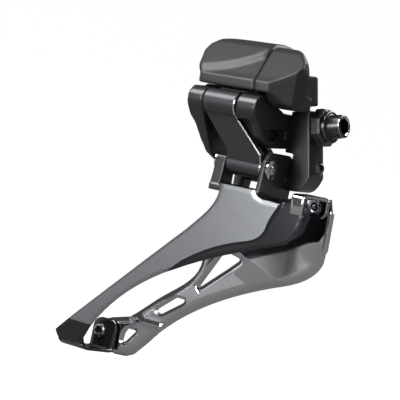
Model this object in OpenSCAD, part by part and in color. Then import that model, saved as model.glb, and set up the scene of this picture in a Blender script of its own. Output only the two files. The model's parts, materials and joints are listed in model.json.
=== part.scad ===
// Front derailleur, motor driven, for a frame with a brazed-on hanger tab.
// Origin: axis of the clamp bolt on the contact face of the clamp block.
// +X runs forward out of that face, +Y towards the frame, +Z up the seat tube.

/* [Linkage] */
// Angle of the link pins below the horizontal, front end low
pin_pitch = 12; // [8:1:15]
// Distance between the two pivots of each link
link_length = 20; // [17:0.5:24]
// Lean of the links at rest, towards the frame on the way down
link_lean = 20; // [16:1:24]
// Radius of the four link pins
pin_r = 1.5; // [1.2:0.05:1.8]
// Radial running clearance of a link on its pin
pin_play = 0.03; // [0.02:0.01:0.05]
// Side clearance between a link and the ears beside it
side_play = 0.2; // [0.15:0.05:0.4]
// Outer radius of the outer link's upper barrel
barrel_r = 4.2; // [3.6:0.1:4.6]

/* [Cage] */
// Clear width between the two cage plates
cage_gap = 11.8; // [9.8:0.2:14.2]
// Length of the cage from its neck to its tail
cage_length = 100; // [83:1:120]
// Sheet thickness of the cage plates
plate_t = 1.2; // [1:0.1:1.5]
// Radius of the cage rivets
rivet_r = 1.2; // [1:0.1:1.4]

/* [Clamp] */
// Radius of the clamp bolt's thread
clamp_bolt_r = 2.5; // [2.1:0.1:3]
// Width across the flats of the clamp bolt's socket
socket_flats = 5; // [4:0.5:5.5]
// Radius of the curved contact face
contact_r = 17.3; // [15:0.1:21]
// Width of the clamp block
block_w = 9; // [8:0.5:10]
// Radius of the support bolt
support_r = 2; // [1.7:0.1:2.4]

/* [Motor unit] */
// Rear end of the motor housing, measured back from the origin
housing_back = 38.2; // [37:0.2:46]
// Wall of the motor housing
housing_wall = 1.4; // [1.2:0.1:1.6]
// Radius of the motor can
motor_r = 4; // [3.3:0.1:4.1]
// Radius of the wire port's bore
port_r = 1.5; // [1.3:0.05:1.5]
// Depth of the wire port's bore
port_depth = 4.5; // [3.8:0.1:5.4]

/* [Hidden] */

$fn = 48;
far = 200;

// Pivots as [y, z] in the mechanism's own frame, which is the row frame pitched by pin_pitch
pivot_a = [-23.3, 2.9];
link_step = [link_length * sin(link_lean), -link_length * cos(link_lean)];
pivot_b = pivot_a + link_step;
pivot_c = [-11.5, 0.2];
pivot_d = pivot_c + link_step;

// Drive: output shaft, arm pin and horn pin make a second parallelogram with pivot_c
shaft_axis = [-5, 14.6];
arm_step = [6.98, -0.55];
arm_pivot = shaft_axis + arm_step;
horn_pivot = pivot_c + arm_step;
motor_axis = [-13.2, 15.2];
shaft_r = 1.5;
small_pin_r = 1;

// Ranges along x
ear_gap_back = -28.7;
ear_back = -34.6;
wall_front = -8;
wall_t = 2.8;
ear_front_back = -15.4;
link_up = [ear_gap_back + side_play, ear_front_back - side_play - 0.6];
low_ear_t = 3.9;
front_ear = [-7.2, -5.4];
link_low = [-20.7, front_ear[0] - side_play];
low_ear = [link_low[0] - side_play - low_ear_t, link_low[0] - side_play];
thick_wall_back = -9.6;
inner_up = link_up;
inner_low = [low_ear[1] + side_play, thick_wall_back - side_play];

// Heights and sides of the cage, all hung from pivot_b
cage_z = pivot_b[1] - 7.6;
outer_face = pivot_b[0] - 6.04;
outer_back = outer_face + plate_t;
inner_face = outer_back + cage_gap;
inner_back = inner_face + plate_t;
web_t = 1.9;
flange_t = 0.9;
cage_scale = cage_length / 100;

// Gears
pinion_teeth = 8;
wheel_teeth = 24;
fast_module = 0.3;
slow_module = 0.35;
backlash = 0.07;
fast_distance = fast_module * (pinion_teeth + wheel_teeth) / 2;
slow_distance = slow_module * (pinion_teeth + wheel_teeth) / 2;
motor_to_shaft = shaft_axis - motor_axis;
gear_span = norm(motor_to_shaft);
idler_along = (pow(fast_distance, 2) - pow(slow_distance, 2) + pow(gear_span, 2)) / (2 * gear_span);
idler_off = sqrt(pow(fast_distance, 2) - pow(idler_along, 2));
span_dir = motor_to_shaft / gear_span;
idler_axis = motor_axis + idler_along * span_dir + idler_off * [-span_dir[1], span_dir[0]];
slow_back = -15.7;
slow_front = -13.9;
fast_front = -12.4;

// Rear pocket of the housing, in which the drive arm swings
pocket = [[-24.8, -7.9, 8], [-17.4, 6, 17.6]];
pocket_wall = 1.2;
arm_x = [-20.9, -18.5];
rod_x = [-23.9, -21.1];
split_x = -9;
gasket_t = 0.3;

// The frame of the link pins
module mech() {
    rotate([0, pin_pitch, 0]) children();
}

// Round bar or bore along the pins, centred on a [y, z] pivot
module bar(span, pivot, r) {
    translate([span[0], pivot[0], pivot[1]])
        rotate([0, 90, 0])
            cylinder(h = span[1] - span[0], r = r);
}

// Outline of [y, z] points drawn out along x
module along_x(span, points) {
    translate([span[0], 0, 0])
        rotate([90, 0, 90])
            linear_extrude(span[1] - span[0]) polygon(points);
}

// Outline of [x, z] points drawn out along y
module along_y(span, points) {
    translate([0, span[1], 0])
        rotate([90, 0, 0])
            linear_extrude(span[1] - span[0]) polygon(points);
}

// Outline of [x, y] points drawn out along z
module along_z(span, points) {
    translate([0, 0, span[0]])
        linear_extrude(span[1] - span[0]) polygon(points);
}

module block(low, high) {
    translate(low) cube(high - low);
}

// Points of a cubic curve, without its last point
function curve(p0, p1, p2, p3, n = 10) = [
    for (i = [0 : n - 1])
        let (t = i / n, s = 1 - t)
            s * s * s * p0 + 3 * s * s * t * p1 + 3 * s * t * t * p2 + t * t * t * p3
];

// Convex outline, counter-clockwise, drawn in by d on every side
function unit(v) = v / norm(v);
function left_of(v) = [-v[1], v[0]];
function inset(points, d) = [
    let (n = len(points))
        for (i = [0 : n - 1])
            let (
                before = unit(points[i] - points[(i + n - 1) % n]),
                after = unit(points[(i + 1) % n] - points[i]),
                turn = before[0] * after[1] - before[1] * after[0],
                step = (left_of(after) - left_of(before)) * d,
                run = turn == 0 ? 0 : (step[0] * after[1] - step[1] * after[0]) / turn
            )
                points[i] + left_of(before) * d + before * run
];

// Outline of a spur gear, one tooth centred on the first axis
function rolled(base, a) = base * [cos(a) + a * PI / 180 * sin(a), sin(a) - a * PI / 180 * cos(a)];
function involute_angle(base, r) = let (a = acos(base / r)) tan(a) * 180 / PI - a;
function gear_points(teeth, m) =
    let (
        pitch = m * teeth / 2,
        base = pitch * cos(20),
        tip = pitch + 0.85 * m,
        root = pitch - 1.15 * m,
        half = 90 / teeth - backlash / pitch * 90 / PI + involute_angle(base, pitch),
        steps = 4
    )
    [
        for (k = [0 : teeth - 1])
            let (mid = k * 360 / teeth)
                for (side = [-1, 1])
                    for (i = side < 0 ? [0 : steps + 1] : [steps + 1 : -1 : 0])
                        let (
                            r = i == 0 ? root : max(root, base + (tip - base) * (i - 1) / steps),
                            lean = r <= base ? 0 : involute_angle(base, r),
                            a = mid + side * (half - lean)
                        )
                            r * [cos(a), sin(a)]
    ];

module gear(span, pivot, teeth, m, turn) {
    translate([span[0], pivot[0], pivot[1]])
        rotate([90, 0, 90])
            rotate([0, 0, turn])
                linear_extrude(span[1] - span[0]) polygon(gear_points(teeth, m));
}

function heading(from, to) = atan2(to[1] - from[1], to[0] - from[0]);

// ---------- base ----------

front_wall_outline = [
    [-27.5, 2.9], [-26.6, -0.1], [-24.1, -2.3], [-21.7, -6.2], [-19.8, -7.4], [-13.6, -9.1], [-3, -8.6],
    [-1.1, -7.4], [-0.8, 2.7], [-9.5, 2.7], [-22, 7], [-25, 6.8]
];
rear_wall_outline = [
    [-27.5, 2.9], [-26.4, -0.4], [-22.5, -6], [-17.4, -14], [-13, -16.5], [-8.5, -16.8], [-5.6, -14.4],
    [-5.2, 2.6], [-9, 8.2], [-24.6, 7]
];
rear_side_outline = [
    [-28.8, 8.2], [-35, 8.2], [-34.6, 4], [-34.4, -2.4], [-33, -5.2], [-32.2, -9.6], [-30.6, -14.4],
    [-29.4, -17], [-28.8, -17]
];
pocket_outline = [[-20.8, -3.7], [-17, -6.7], [-5, -6.2], [-5.2, -2.4]];
wall_screw_axis = [-12, -4.7];
// The upper pins go in from the rear and stop inside the front wall
pin_back = -34;
pin_end = -9.4;

module base_bracket() {
    color("#2b2b2d") mech() difference() {
        union() {
            along_x([wall_front - wall_t, wall_front], front_wall_outline);
            bar([ear_front_back, wall_front], pivot_a, barrel_r + 0.1);
            intersection() {
                along_x([-40, ear_gap_back], rear_wall_outline);
                along_y([-30, 0], rear_side_outline);
            }
            bar([ear_back, ear_gap_back], pivot_a, barrel_r + 0.1);
            along_x([ear_back, wall_front - wall_t], [[-18.2, 5.2], [-8, 5.2], [-8, 8.2], [-18.2, 8.2]]);
            along_x([ear_front_back, wall_front - wall_t],
                [[-24, 6.6], [-20, 2], [-14, 2.6], [-8, 5.2], [-8, 8.2], [-22, 8.2]]);
            bar([ear_front_back, wall_front - wall_t], pivot_c, 2.9);
        }
        bar([-60, pin_end], pivot_a, pin_r);
        bar([-60, pin_end], pivot_c, pin_r);
        along_x([wall_front - 1.4, 0], pocket_outline);
        bar([-20, 0], wall_screw_axis, 1.25);
        along_x([ear_gap_back, ear_front_back], [[-27, -4], [-19, -4], [-19, 7.2], [-27, 7.2]]);
        for (x = unit_screw_x)
            translate([x, unit_screw_y, 4]) cylinder(h = 8, r = 1);
        for (z = block_screw_z)
            bar([-20, 0], [block_screw_y, z], block_screw_r);
    }
}

module wall_screw() {
    color("#3a3a3c") mech() difference() {
        union() {
            bar([wall_front - wall_t - 3, wall_front - 1.4], wall_screw_axis, 1.25);
            bar([wall_front - 1.4, wall_front - 0.2], wall_screw_axis, 1.55);
        }
        hex_socket([wall_front - 1.9, 0], wall_screw_axis, 1.6);
    }
}

module hex_socket(span, pivot, flats) {
    translate([span[0], pivot[0], pivot[1]])
        rotate([0, 90, 0])
            cylinder(h = span[1] - span[0], r = flats / sqrt(3), $fn = 6);
}

module upper_outer_pin() {
    color("silver") mech() bar([pin_back, pin_end], pivot_a, pin_r);
}

module upper_inner_pin() {
    color("silver") mech() bar([pin_back, pin_end], pivot_c, pin_r);
}

// ---------- clamp ----------

block_mid = -1;
block_y = [block_mid - block_w / 2, block_mid + block_w / 2];
block_side = concat(
    [[-14, 5.4], [-14, -19.6]],
    curve([-7.5, -20.6], [-5.2, -21.2], [-3.8, -20.6], [-2.2, -18.8], 6),
    curve([-2.2, -18.8], [-0.4, -16.6], [1, -14], [1, -11], 6),
    [[1, 5.4]]
);
foot_front = -4.9;
foot_top = -9.7;
block_screw_z = [-4.2, -7.1];
block_screw_y = -3.4;
block_screw_x = [-12, -5.6];
block_screw_r = 0.9;
support_dir = 138;
support_mid = [0, 0.3, -13];
support_len = 8;
support_in = 0.9;
washer_t = 3.5;
flange_len = 1.5;
head_len = 4.6;
bolt_reach = 7.2;

module support_axis() {
    translate(support_mid) rotate([0, 0, support_dir]) rotate([0, 90, 0]) children();
}

module clamp_block() {
    color("#29292b") difference() {
        intersection() {
            along_y(block_y, block_side);
            translate([-contact_r, block_mid, -30]) cylinder(h = 50, r = contact_r, $fn = 96);
        }
        mech() block([-60, -20, -60], [wall_front, 20, 60]);
        mech() block([-60, -20, -60], [foot_front, 20, foot_top]);
        bar([-20, 10], [0, 0], clamp_bolt_r);
        mech() for (z = block_screw_z)
            bar([-20, block_screw_x[1]], [block_screw_y, z], block_screw_r);
        support_axis() translate([0, 0, -6]) cylinder(h = 30, r = support_r);
    }
}

module clamp_bolt() {
    head_start = washer_t + flange_len;
    color("#4a4a4d") difference() {
        union() {
            bar([-bolt_reach, washer_t], [0, 0], clamp_bolt_r);
            bar([washer_t, head_start], [0, 0], clamp_bolt_r + 2.85);
            translate([head_start, 0, 0])
                rotate([0, 90, 0])
                    cylinder(h = head_len - 0.4, r1 = clamp_bolt_r + 1.5, r2 = clamp_bolt_r + 1.25);
            translate([head_start + head_len - 0.4, 0, 0])
                rotate([0, 90, 0])
                    cylinder(h = 0.4, r1 = clamp_bolt_r + 1.25, r2 = clamp_bolt_r + 0.9);
        }
        hex_socket([head_start + 1.2, far], [0, 0], socket_flats);
    }
}

module radius_washer() {
    side = clamp_bolt_r + 3.5;
    color("#6a6a6d") difference() {
        intersection() {
            bar([-1.5, washer_t], [0, 0], side + 0.3);
            along_x([-1.5, washer_t], [
                for (i = [0 : 7]) side / cos(22.5) * [cos(22.5 + 45 * i), sin(22.5 + 45 * i)]
            ]);
        }
        translate([-contact_r, block_mid, -30]) cylinder(h = 60, r = contact_r, $fn = 96);
        bar([-5, 10], [0, 0], clamp_bolt_r);
    }
}

module support_bolt() {
    color("#5a5a5c") support_axis() difference() {
        translate([0, 0, support_in]) cylinder(h = support_len, r = support_r - pin_play);
        translate([0, 0, 0]) cylinder(h = support_in + 2, r = 1.25 / cos(30), $fn = 6);
    }
}

module block_screws() {
    color("#5a5a5c") mech() for (z = block_screw_z) {
        bar(block_screw_x, [block_screw_y, z], block_screw_r);
        bar([block_screw_x[0], wall_front - wall_t], [block_screw_y, z], block_screw_r + 0.5);
    }
}

// ---------- motor housing ----------

housing_front_view = [
    [4, 8.3], [4, 20.8], [0.5, 23.2], [-6, 23.8], [-12, 23.4], [-14.6, 22], [-23, 13.2], [-25, 11.4],
    [-25, 8.3]
];
housing_side_view = [
    [-housing_back, 8.3], [2, 8.3], [2.6, 14], [0.8, 19.6], [-3, 22.8], [-8, 24], [4.4 - housing_back, 23.2],
    [1.6 - housing_back, 20.6], [-housing_back, 13]
];
housing_plan = [
    [-housing_back, -15], [3.8 - housing_back, -23.2], [5.4 - housing_back, -25],
    [-6.2, -25], [0.8, -20.4], [2.4, -15], [2.4, -11.4], [0.6, -9],
    [-5, 4], [1.8 - housing_back, 4], [-housing_back, 1.6]
];
// Outline of the front inner corner, seen square to it, as [across, z]
corner_turn = 35;
housing_corner = [
    [-90, 0], [-4.4, 0], [-4.2, 17], [-4.6, 19.6], [-5.4, 22], [-6.8, 24.2], [-8.9, 25.9], [-12.5, 27],
    [-20, 28.6], [-90, 34]
];
chin_side = [[-7.6, 3.9], [1.6, 4.1], [2.4, 8.8], [-7.6, 8.8]];
chin_front = [[-24.6, 8.8], [-21.4, 5.4], [-16.6, 3.9], [-10, 3.9], [-8.6, 8.8]];
port_mid = [-2.8, -6.95];
port_face = 7;
insert_r = port_r - 0.4;
insert_len = 2;
port_top = 16.4;

module housing_solid(d) {
    intersection() {
        along_x([-60, 20], inset(housing_front_view, d));
        along_y([-40, 20], inset(housing_side_view, d));
        along_z([0, 60], inset(housing_plan, d));
        rotate([0, -pin_pitch, 0])
            rotate([0, 0, corner_turn])
                along_y([-60, 60], inset(housing_corner, d));
    }
}

module chin_solid(d) {
    intersection() {
        along_y([-40, 20], inset(chin_side, d));
        along_x([-60, 20], inset(chin_front, d));
        along_z([0, 60], inset(housing_plan, d));
    }
}

module behind_split(shift = 0) {
    block([-far, -far, -far], [split_x + shift, far, far]);
}

module ahead_of_split() {
    block([split_x, -far, -far], [far, far, far]);
}

boss_r = 2.1;
unit_screw_x = [-26.6, -17.8];
unit_screw_y = -13.4;
cover_screw_at = [[-21.4, 11], [-2.4, 21]];
cover_screw_r = 0.8;
cover_screw_head = -17;
cover_screw_tip = [-6, -11.4];
motor_back = -housing_back + 3.2;
motor_front = -17.2;

module motor_shell() {
    color("#3c3d40") difference() {
        union() {
            difference() {
                mech() housing_solid(0);
                mech() housing_solid(housing_wall);
            }
            mech() intersection() {
                housing_solid(0);
                union() {
                    block(
                        pocket[0] - [pocket_wall, pocket_wall, 0],
                        pocket[1] + [pocket_wall, 0, pocket_wall]
                    );
                    for (x = unit_screw_x)
                        translate([x, unit_screw_y, 8]) cylinder(h = 3, r = boss_r);
                    block([motor_front + 0.2, -19, 9], [pocket[1][0] + pocket_wall, -7, 20]);
                    for (at = cover_screw_at)
                        bar([-far, 0], at, 1.9);
                }
            }
        }
        mech() {
            block(pocket[0], pocket[1]);
            bar([pocket[0][0] - 0.9, 0], shaft_axis, shaft_r + pin_play);
            bar([pocket[1][0] - 0.1, -16.9], shaft_axis, 2.3);
            bar([motor_front - 1, 0], motor_axis, 2.1);
            bar([-16.9, 0], idler_axis, small_pin_r);
            for (x = unit_screw_x)
                translate([x, unit_screw_y, 7]) cylinder(h = 3.4, r = 0.9);
            for (at = cover_screw_at) {
                bar([-far, 10], at, cover_screw_r);
                bar([-far, cover_screw_head], at, cover_screw_r + 0.6);
            }
        }
        block([split_x - gasket_t, -far, -far], [far, far, far]);
    }
}

module front_cover() {
    color("#3c3d40") difference() {
        union() {
            intersection() {
                ahead_of_split();
                difference() {
                    mech() union() {
                        housing_solid(0);
                        chin_solid(0);
                    }
                    mech() {
                        housing_solid(housing_wall);
                        intersection() {
                            chin_solid(housing_wall);
                            block([-far, -far, 4], [far, far, 7.2]);
                        }
                    }
                }
            }
            intersection() {
                ahead_of_split();
                mech() intersection() {
                    housing_solid(0);
                    for (at = cover_screw_at)
                        bar([-20, 10], at, 1.9);
                }
            }
            along_z([port_face, port_top], [
                [-5.6, -8.8], [-1.8, -9.2], [0.4, -7.6], [1.4, -4], [0.2, -1], [-5.6, -0.6]
            ]);
        }
        translate([port_mid[0], port_mid[1], port_face - 1]) cylinder(h = port_depth + 1, r = port_r);
        translate([port_mid[0], port_mid[1], port_face]) cylinder(h = port_depth + insert_len, r = insert_r);
        mech() for (i = [0, 1])
            bar([-20, cover_screw_tip[i] + 0.4], cover_screw_at[i], cover_screw_r);
    }
}

module cover_gasket() {
    color("#151515") intersection() {
        block([split_x - gasket_t, -far, -far], [split_x, far, far]);
        mech() difference() {
            housing_solid(0.5);
            housing_solid(housing_wall);
            for (at = cover_screw_at)
                bar([-20, 10], at, 1.9);
        }
    }
}

module cover_screws() {
    color("silver") mech() for (i = [0, 1]) {
        bar([cover_screw_head, cover_screw_tip[i]], cover_screw_at[i], cover_screw_r);
        bar([cover_screw_head - 1, cover_screw_head], cover_screw_at[i], cover_screw_r + 0.5);
    }
}

module unit_screws() {
    color("silver") mech() for (x = unit_screw_x)
        translate([x, unit_screw_y, 0]) {
            translate([0, 0, 5.2 - 0.8]) cylinder(h = 0.8, r = 1.9);
            translate([0, 0, 5.2]) cylinder(h = 5.2, r = 0.9);
        }
}

// ---------- drive ----------

module motor_can() {
    color("#b8bcc2") mech() difference() {
        bar([motor_back, motor_front], motor_axis, motor_r);
        bar([motor_back + 1.2, motor_front - 1], motor_axis, motor_r - 0.5);
        bar([motor_front - 2, motor_front + 1], motor_axis, small_pin_r + 0.5);
    }
}

rotor_back = motor_back + 1.2 + side_play;

module motor_rotor() {
    color("#d9c27a") mech() {
        bar([rotor_back, motor_front - 1 - side_play], motor_axis, motor_r - 0.9);
        bar([motor_front - 2, slow_front + 0.2], motor_axis, small_pin_r - 0.2);
        gear([slow_front + 0.1, fast_front], motor_axis, pinion_teeth, fast_module,
            heading(motor_axis, idler_axis));
    }
}

module idler_gear() {
    turn = heading(motor_axis, idler_axis) + 180 + 180 / wheel_teeth;
    color("#c8a24a") mech() difference() {
        union() {
            gear([slow_front + 0.1, fast_front], idler_axis, wheel_teeth, fast_module, turn);
            gear([slow_back, slow_front + 0.1], idler_axis, pinion_teeth, slow_module,
                heading(idler_axis, shaft_axis));
        }
        bar([-20, 0], idler_axis, small_pin_r - 0.35 + pin_play);
    }
}

module idler_pin() {
    color("silver") mech() {
        bar([-16.9, slow_back - 0.1], idler_axis, small_pin_r);
        bar([slow_back - 0.1, -10.8], idler_axis, small_pin_r - 0.35);
    }
}

module output_gear() {
    turn = heading(idler_axis, shaft_axis) + 180 + 180 / wheel_teeth;
    color("#c8a24a") mech() difference() {
        gear([slow_back, slow_front], shaft_axis, wheel_teeth, slow_module, turn);
        bar([-20, 0], shaft_axis, shaft_r);
    }
}

module output_shaft() {
    color("silver") mech() bar([pocket[0][0] - 0.8, -10.6], shaft_axis, shaft_r);
}

module shaft_bush() {
    color("#b5843c") mech() difference() {
        bar([-12.2, -10.6], shaft_axis, shaft_r + 0.8);
        bar([-20, 0], shaft_axis, shaft_r + pin_play);
    }
}

module shaft_seal() {
    color("#151515") mech() difference() {
        bar([pocket[1][0] - 0.1, -16.9], shaft_axis, 2.3);
        bar([-20, 0], shaft_axis, shaft_r + pin_play);
    }
}

module gear_plate() {
    color("#9a9da3") mech() difference() {
        along_x([-12.1, -10.8], [
            [-12.8, 16.4], [-8.6, 11.6], [-2, 11.6], [-2, 17.4], [-6, 20.6], [-11.4, 20.6]
        ]);
        bar([-20, 0], shaft_axis, shaft_r + 0.8);
        bar([-20, 0], idler_axis, small_pin_r - 0.35);
    }
}

module position_sensor() {
    color("#232323") mech() bar([-10.6, -9.6], shaft_axis, 2.4);
}

module circuit_board() {
    color("#1f5a34") mech() along_x([-9.2, -8.2], [
        [-17.8, 10.2], [-9.4, 10.2], [-9.4, 18.6], [-13.2, 18.6], [-17.6, 14.4]
    ]);
}

// Flat lever between two round ends
module lever(span, p, q, rp, rq, waist) {
    across = left_of(unit(q - p)) * waist;
    bar(span, p, rp);
    bar(span, q, rq);
    along_x(span, [p - across, q - across, q + across, p + across]);
}

module drive_arm() {
    color("#8d9096") mech() difference() {
        lever(arm_x, shaft_axis, arm_pivot, 2.6, 1.9, 1.5);
        bar([-40, 0], shaft_axis, shaft_r);
        bar([-40, 0], arm_pivot, small_pin_r);
    }
}

module arm_pin() {
    color("silver") mech() bar([rod_x[0] - 0.3, arm_x[1]], arm_pivot, small_pin_r);
}

module drive_link() {
    color("#6f7278") mech() difference() {
        lever(rod_x, arm_pivot, horn_pivot, 1.9, 1.9, 1.3);
        bar([-40, 0], arm_pivot, small_pin_r + pin_play);
        bar([-40, 0], horn_pivot, small_pin_r + pin_play);
    }
}

module horn_pin() {
    color("silver") mech() bar([rod_x[0] - 0.3, arm_x[1]], horn_pivot, small_pin_r);
}

module port_insert() {
    color("#0f0f10") translate([port_mid[0], port_mid[1], port_face + port_depth])
        difference() {
            cylinder(h = insert_len, r = insert_r);
            translate([0, 0, -1]) cylinder(h = 2, r = insert_r - 0.3);
        }
}

module contact_pins() {
    color("#c9a648") for (side = [-1, 1])
        translate([port_mid[0] + side * 0.4, port_mid[1], port_face + port_depth + 0.2])
            cylinder(h = 0.8, r = 0.2);
}

// ---------- links ----------

slant = [-1.2, -11.5];

module outer_link() {
    low_z = pivot_b[1] - 3.4;
    side = [
        [link_up[0], pivot_a[1] + 5], [link_up[0], slant[0]], [link_low[0], pivot_b[1] + 4.4],
        [link_low[0], low_z - 1], [link_low[1], low_z - 1], [link_low[1], pivot_b[1] + 4.4],
        [link_up[1], slant[0]], [link_up[1], pivot_a[1] + 5]
    ];
    out = left_of(unit(link_step)) * -1;
    color("#4c4d52") mech() difference() {
        intersection() {
            along_y([-40, 0], side);
            union() {
                bar([-60, 0], pivot_a, barrel_r);
                bar([-60, 0], pivot_b, 3.4);
                along_x([-60, 0], [
                    pivot_a + out * barrel_r, pivot_a + unit(link_step) * 3 + out * 2.6,
                    pivot_b + out * 2.6, pivot_b + unit(link_step) * 3.3 + out * 1.9,
                    pivot_b + unit(link_step) * 3.3 - out * 0.4, pivot_b - out * 0.6,
                    pivot_a + unit(link_step) * 4 - out * 0.6, pivot_a
                ]);
            }
        }
        bar([-60, 0], pivot_a, pin_r + pin_play);
        bar([-60, 0], pivot_b, pin_r + pin_play);
    }
}

module inner_link() {
    side = [
        [inner_up[0], pivot_c[1] + 5], [inner_up[0], slant[0] - 1], [inner_low[0], pivot_d[1] + 5],
        [inner_low[0], pivot_d[1] - 4], [inner_low[1], pivot_d[1] - 4], [inner_low[1], pivot_d[1] + 5],
        [inner_up[1], slant[0] - 3], [inner_up[1], pivot_c[1] + 5]
    ];
    across = left_of(unit(link_step)) * 1.5;
    color("#333437") mech() difference() {
        union() {
            intersection() {
                along_y([-40, 10], side);
                union() {
                    bar([-60, 0], pivot_c, 3);
                    bar([-60, 0], pivot_d, 2.6);
                    along_x([-60, 0], [
                        pivot_c - across, pivot_d - across, pivot_d + across, pivot_c + across
                    ]);
                }
            }
            lever(arm_x, pivot_c, horn_pivot, 3, 1.9, 1.7);
        }
        bar([-60, 0], pivot_c, pin_r + pin_play);
        bar([-60, 0], pivot_d, pin_r + pin_play);
        bar([-60, 0], horn_pivot, small_pin_r);
    }
}

// ---------- carrier ----------

web_top = cage_z;
web_low = web_top - web_t;
web_over = 1.2;
flange_end = inner_back + 1.6;

module carrier() {
    b = pivot_b;
    d = pivot_d;
    ears = [
        [b[0] - 3.4, b[1]], [b[0] - 2.9, b[1] + 1.8], [b[0] - 1, b[1] + 3.2], [b[0] + 3, b[1] + 3.2],
        [d[0] - 1, d[1] + 3.2], [d[0] + 2.4, d[1] + 1.6], [d[0] + 2.8, d[1] - 1], [d[0] + 1.4, web_low],
        [outer_back, web_low], [b[0] - 3.6, b[1] - 3]
    ];
    front = [
        [b[0] - 3.4, b[1]], [b[0] - 2.9, b[1] + 2.6], [b[0] - 0.6, b[1] + 5.6], [d[0] - 1, d[1] + 8],
        [d[0] + 1.8, d[1] + 6.6], [d[0] + 2.8, d[1]], [d[0] + 2, web_low - 0.4], [d[0] + 0.6, web_low - 1.6],
        [outer_back + 1, web_low - 1.6], [outer_back + 0.2, web_low - 0.6], [b[0] - 3.8, b[1] - 4.6]
    ];
    color("#262628") mech() difference() {
        union() {
            difference() {
                along_x(low_ear, ears);
                block([-60, b[0] + 2.8, web_top], [low_ear[1] + 1, d[0] - 2.8, 0]);
            }
            along_x(front_ear, front);
            intersection() {
                along_x([thick_wall_back, front_ear[1]], front);
                block([-60, pivot_b[0] + 3.4, -60], [0, 20, 0]);
            }
            block([low_ear[0], outer_back, web_low], [front_ear[1], flange_end, web_top]);
            block([low_ear[0], inner_back, web_low - 4.4], [front_ear[1], flange_end, web_top]);
        }
        block([-60, inner_face, -60], [60, inner_back, web_top - web_over]);
        bar([-60, 0], pivot_b, pin_r);
        bar([-60, 0], pivot_d, pin_r);
        for (x = top_rivet_x)
            translate([x, top_rivet_y, -60]) cylinder(h = 60, r = rivet_r);
        for (x = side_rivet_x)
            y_bar([inner_back - 1, inner_back + 10], [x, web_low - 2.3], rivet_r);
    }
}

top_rivet_x = [-17.6, -10.6];
top_rivet_y = outer_face + 4.4;
side_rivet_x = [-21.2, -13];

// Round bar along y, centred on an [x, z] point
module y_bar(span, at, r) {
    translate([at[0], span[1], at[1]])
        rotate([90, 0, 0])
            cylinder(h = span[1] - span[0], r = r);
}

module lower_outer_pin() {
    color("silver") mech() difference() {
        bar([low_ear[0] - 1.1, front_ear[1] + 1.1], pivot_b, pin_r);
        for (x = ring_x)
            ring_cut(x);
    }
}

ring_t = 0.6;
ring_x = [low_ear[0] - ring_t - 0.05, front_ear[1] + 0.05];

module ring_cut(x) {
    difference() {
        bar([x, x + ring_t], pivot_b, pin_r + 1);
        bar([x - 1, x + ring_t + 1], pivot_b, pin_r - 0.4);
    }
}

module retaining_rings() {
    color("silver") mech() for (x = ring_x)
        difference() {
            bar([x, x + ring_t], pivot_b, pin_r + 1.6);
            bar([x - 1, x + ring_t + 1], pivot_b, pin_r - 0.4);
            block([x - 1, pivot_b[0] - 0.8, pivot_b[1] - 6], [x + 2, pivot_b[0] + 0.8, pivot_b[1] - 0.5]);
        }
}

module lower_inner_pin() {
    color("silver") mech() bar([low_ear[0] - 0.2, front_ear[1] - 0.3], pivot_d, pin_r);
}

// ---------- cage ----------

// Point of the cage, measured from the neck and stretched along its length
neck = [-12, cage_z];
function cage(x, z) = neck + ([x, z] - [-12, -23.5]) * cage_scale;
function near(x, z) = [x, z + 23.5 + cage_z];

outer_low_edge = concat(
    [near(12.6, -28), near(11.4, -33)],
    curve(near(7.8, -37.8), cage(-22.3, -47.3), cage(-54, -60.5), cage(-65.8, -85), 16)
);
outer_top_edge = concat(
    [cage(-78.6, -84.6)],
    curve(cage(-29.6, -39.6), cage(-24, -33.8), near(-18.8, -29.6), near(-19.6, -23), 10)
);
tail_low = cage(-66, -88);
tail_back = cage(-77.6, -88);
panel_low_edge = concat(
    [near(3, -27), near(1.2, -28.2)],
    curve(near(0, -34.5), near(-2.5, -39.5), near(-6, -38.5), near(-14, -41.8), 8),
    curve(near(-14, -41.8), cage(-20, -44.2), cage(-26, -47.3), cage(-34, -53.6), 4),
    curve(cage(-34, -53.6), cage(-48, -60.8), cage(-57, -68), cage(-65.8, -85), 8)
);
neck_edge = [
    near(-19.6, -22.6), near(-6.2, -22.6), near(-5.2, -24.4), near(-3, -25.2), near(3.4, -25.4)
];
bridge_x = [[5.6, 12], [6.2, 14]];

module outer_cage_plate() {
    fold = [
        [outer_face, cage(0, -84.6)[1]], [outer_face + 2.2, tail_low[1] - 0.6],
        [outer_face + 3.8, tail_low[1] - 1.4], [outer_face + 3.8, tail_low[1] - 0.4],
        [outer_face + 2.9, tail_low[1] + 0.2], [outer_back, cage(0, -84.6)[1]]
    ];
    color("#85888e") mech() difference() {
        union() {
            along_y([outer_face + 0.4, outer_back], concat(
                outer_low_edge, [cage(-65.8, -85)], outer_top_edge, neck_edge,
                [near(6.2, -23.6), near(bridge_x[0][0] + 1.6, -21.2), near(bridge_x[0][1], -21.2)]
            ));
            along_y([outer_face, outer_face + 0.4], concat(
                panel_low_edge, [cage(-65.8, -85)], outer_top_edge, neck_edge
            ));
            along_x([tail_back[0], tail_low[0]], fold);
            along_z([tail_low[1] - 1.4, tail_low[1] - 0.5], [
                [tail_back[0], outer_face + 3], [tail_low[0], outer_face + 3],
                [tail_low[0] + 5.6, inner_face - 1], [tail_back[0] + 6.8, inner_face - 1]
            ]);
            tail_tab();
            block(
                [low_ear[1] + 1.3, outer_face + 0.4, web_top],
                [front_ear[0] - 0.2, outer_face + 6.4, web_top + flange_t]
            );
            bridge();
        }
        for (x = top_rivet_x)
            translate([x, top_rivet_y, -60]) cylinder(h = 80, r = rivet_r);
        y_bar([inner_face - 3, 10], rivet_at, rivet_r);
        y_bar([inner_face - 3, 10], bridge_rivet_at, rivet_r);
    }
}

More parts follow.
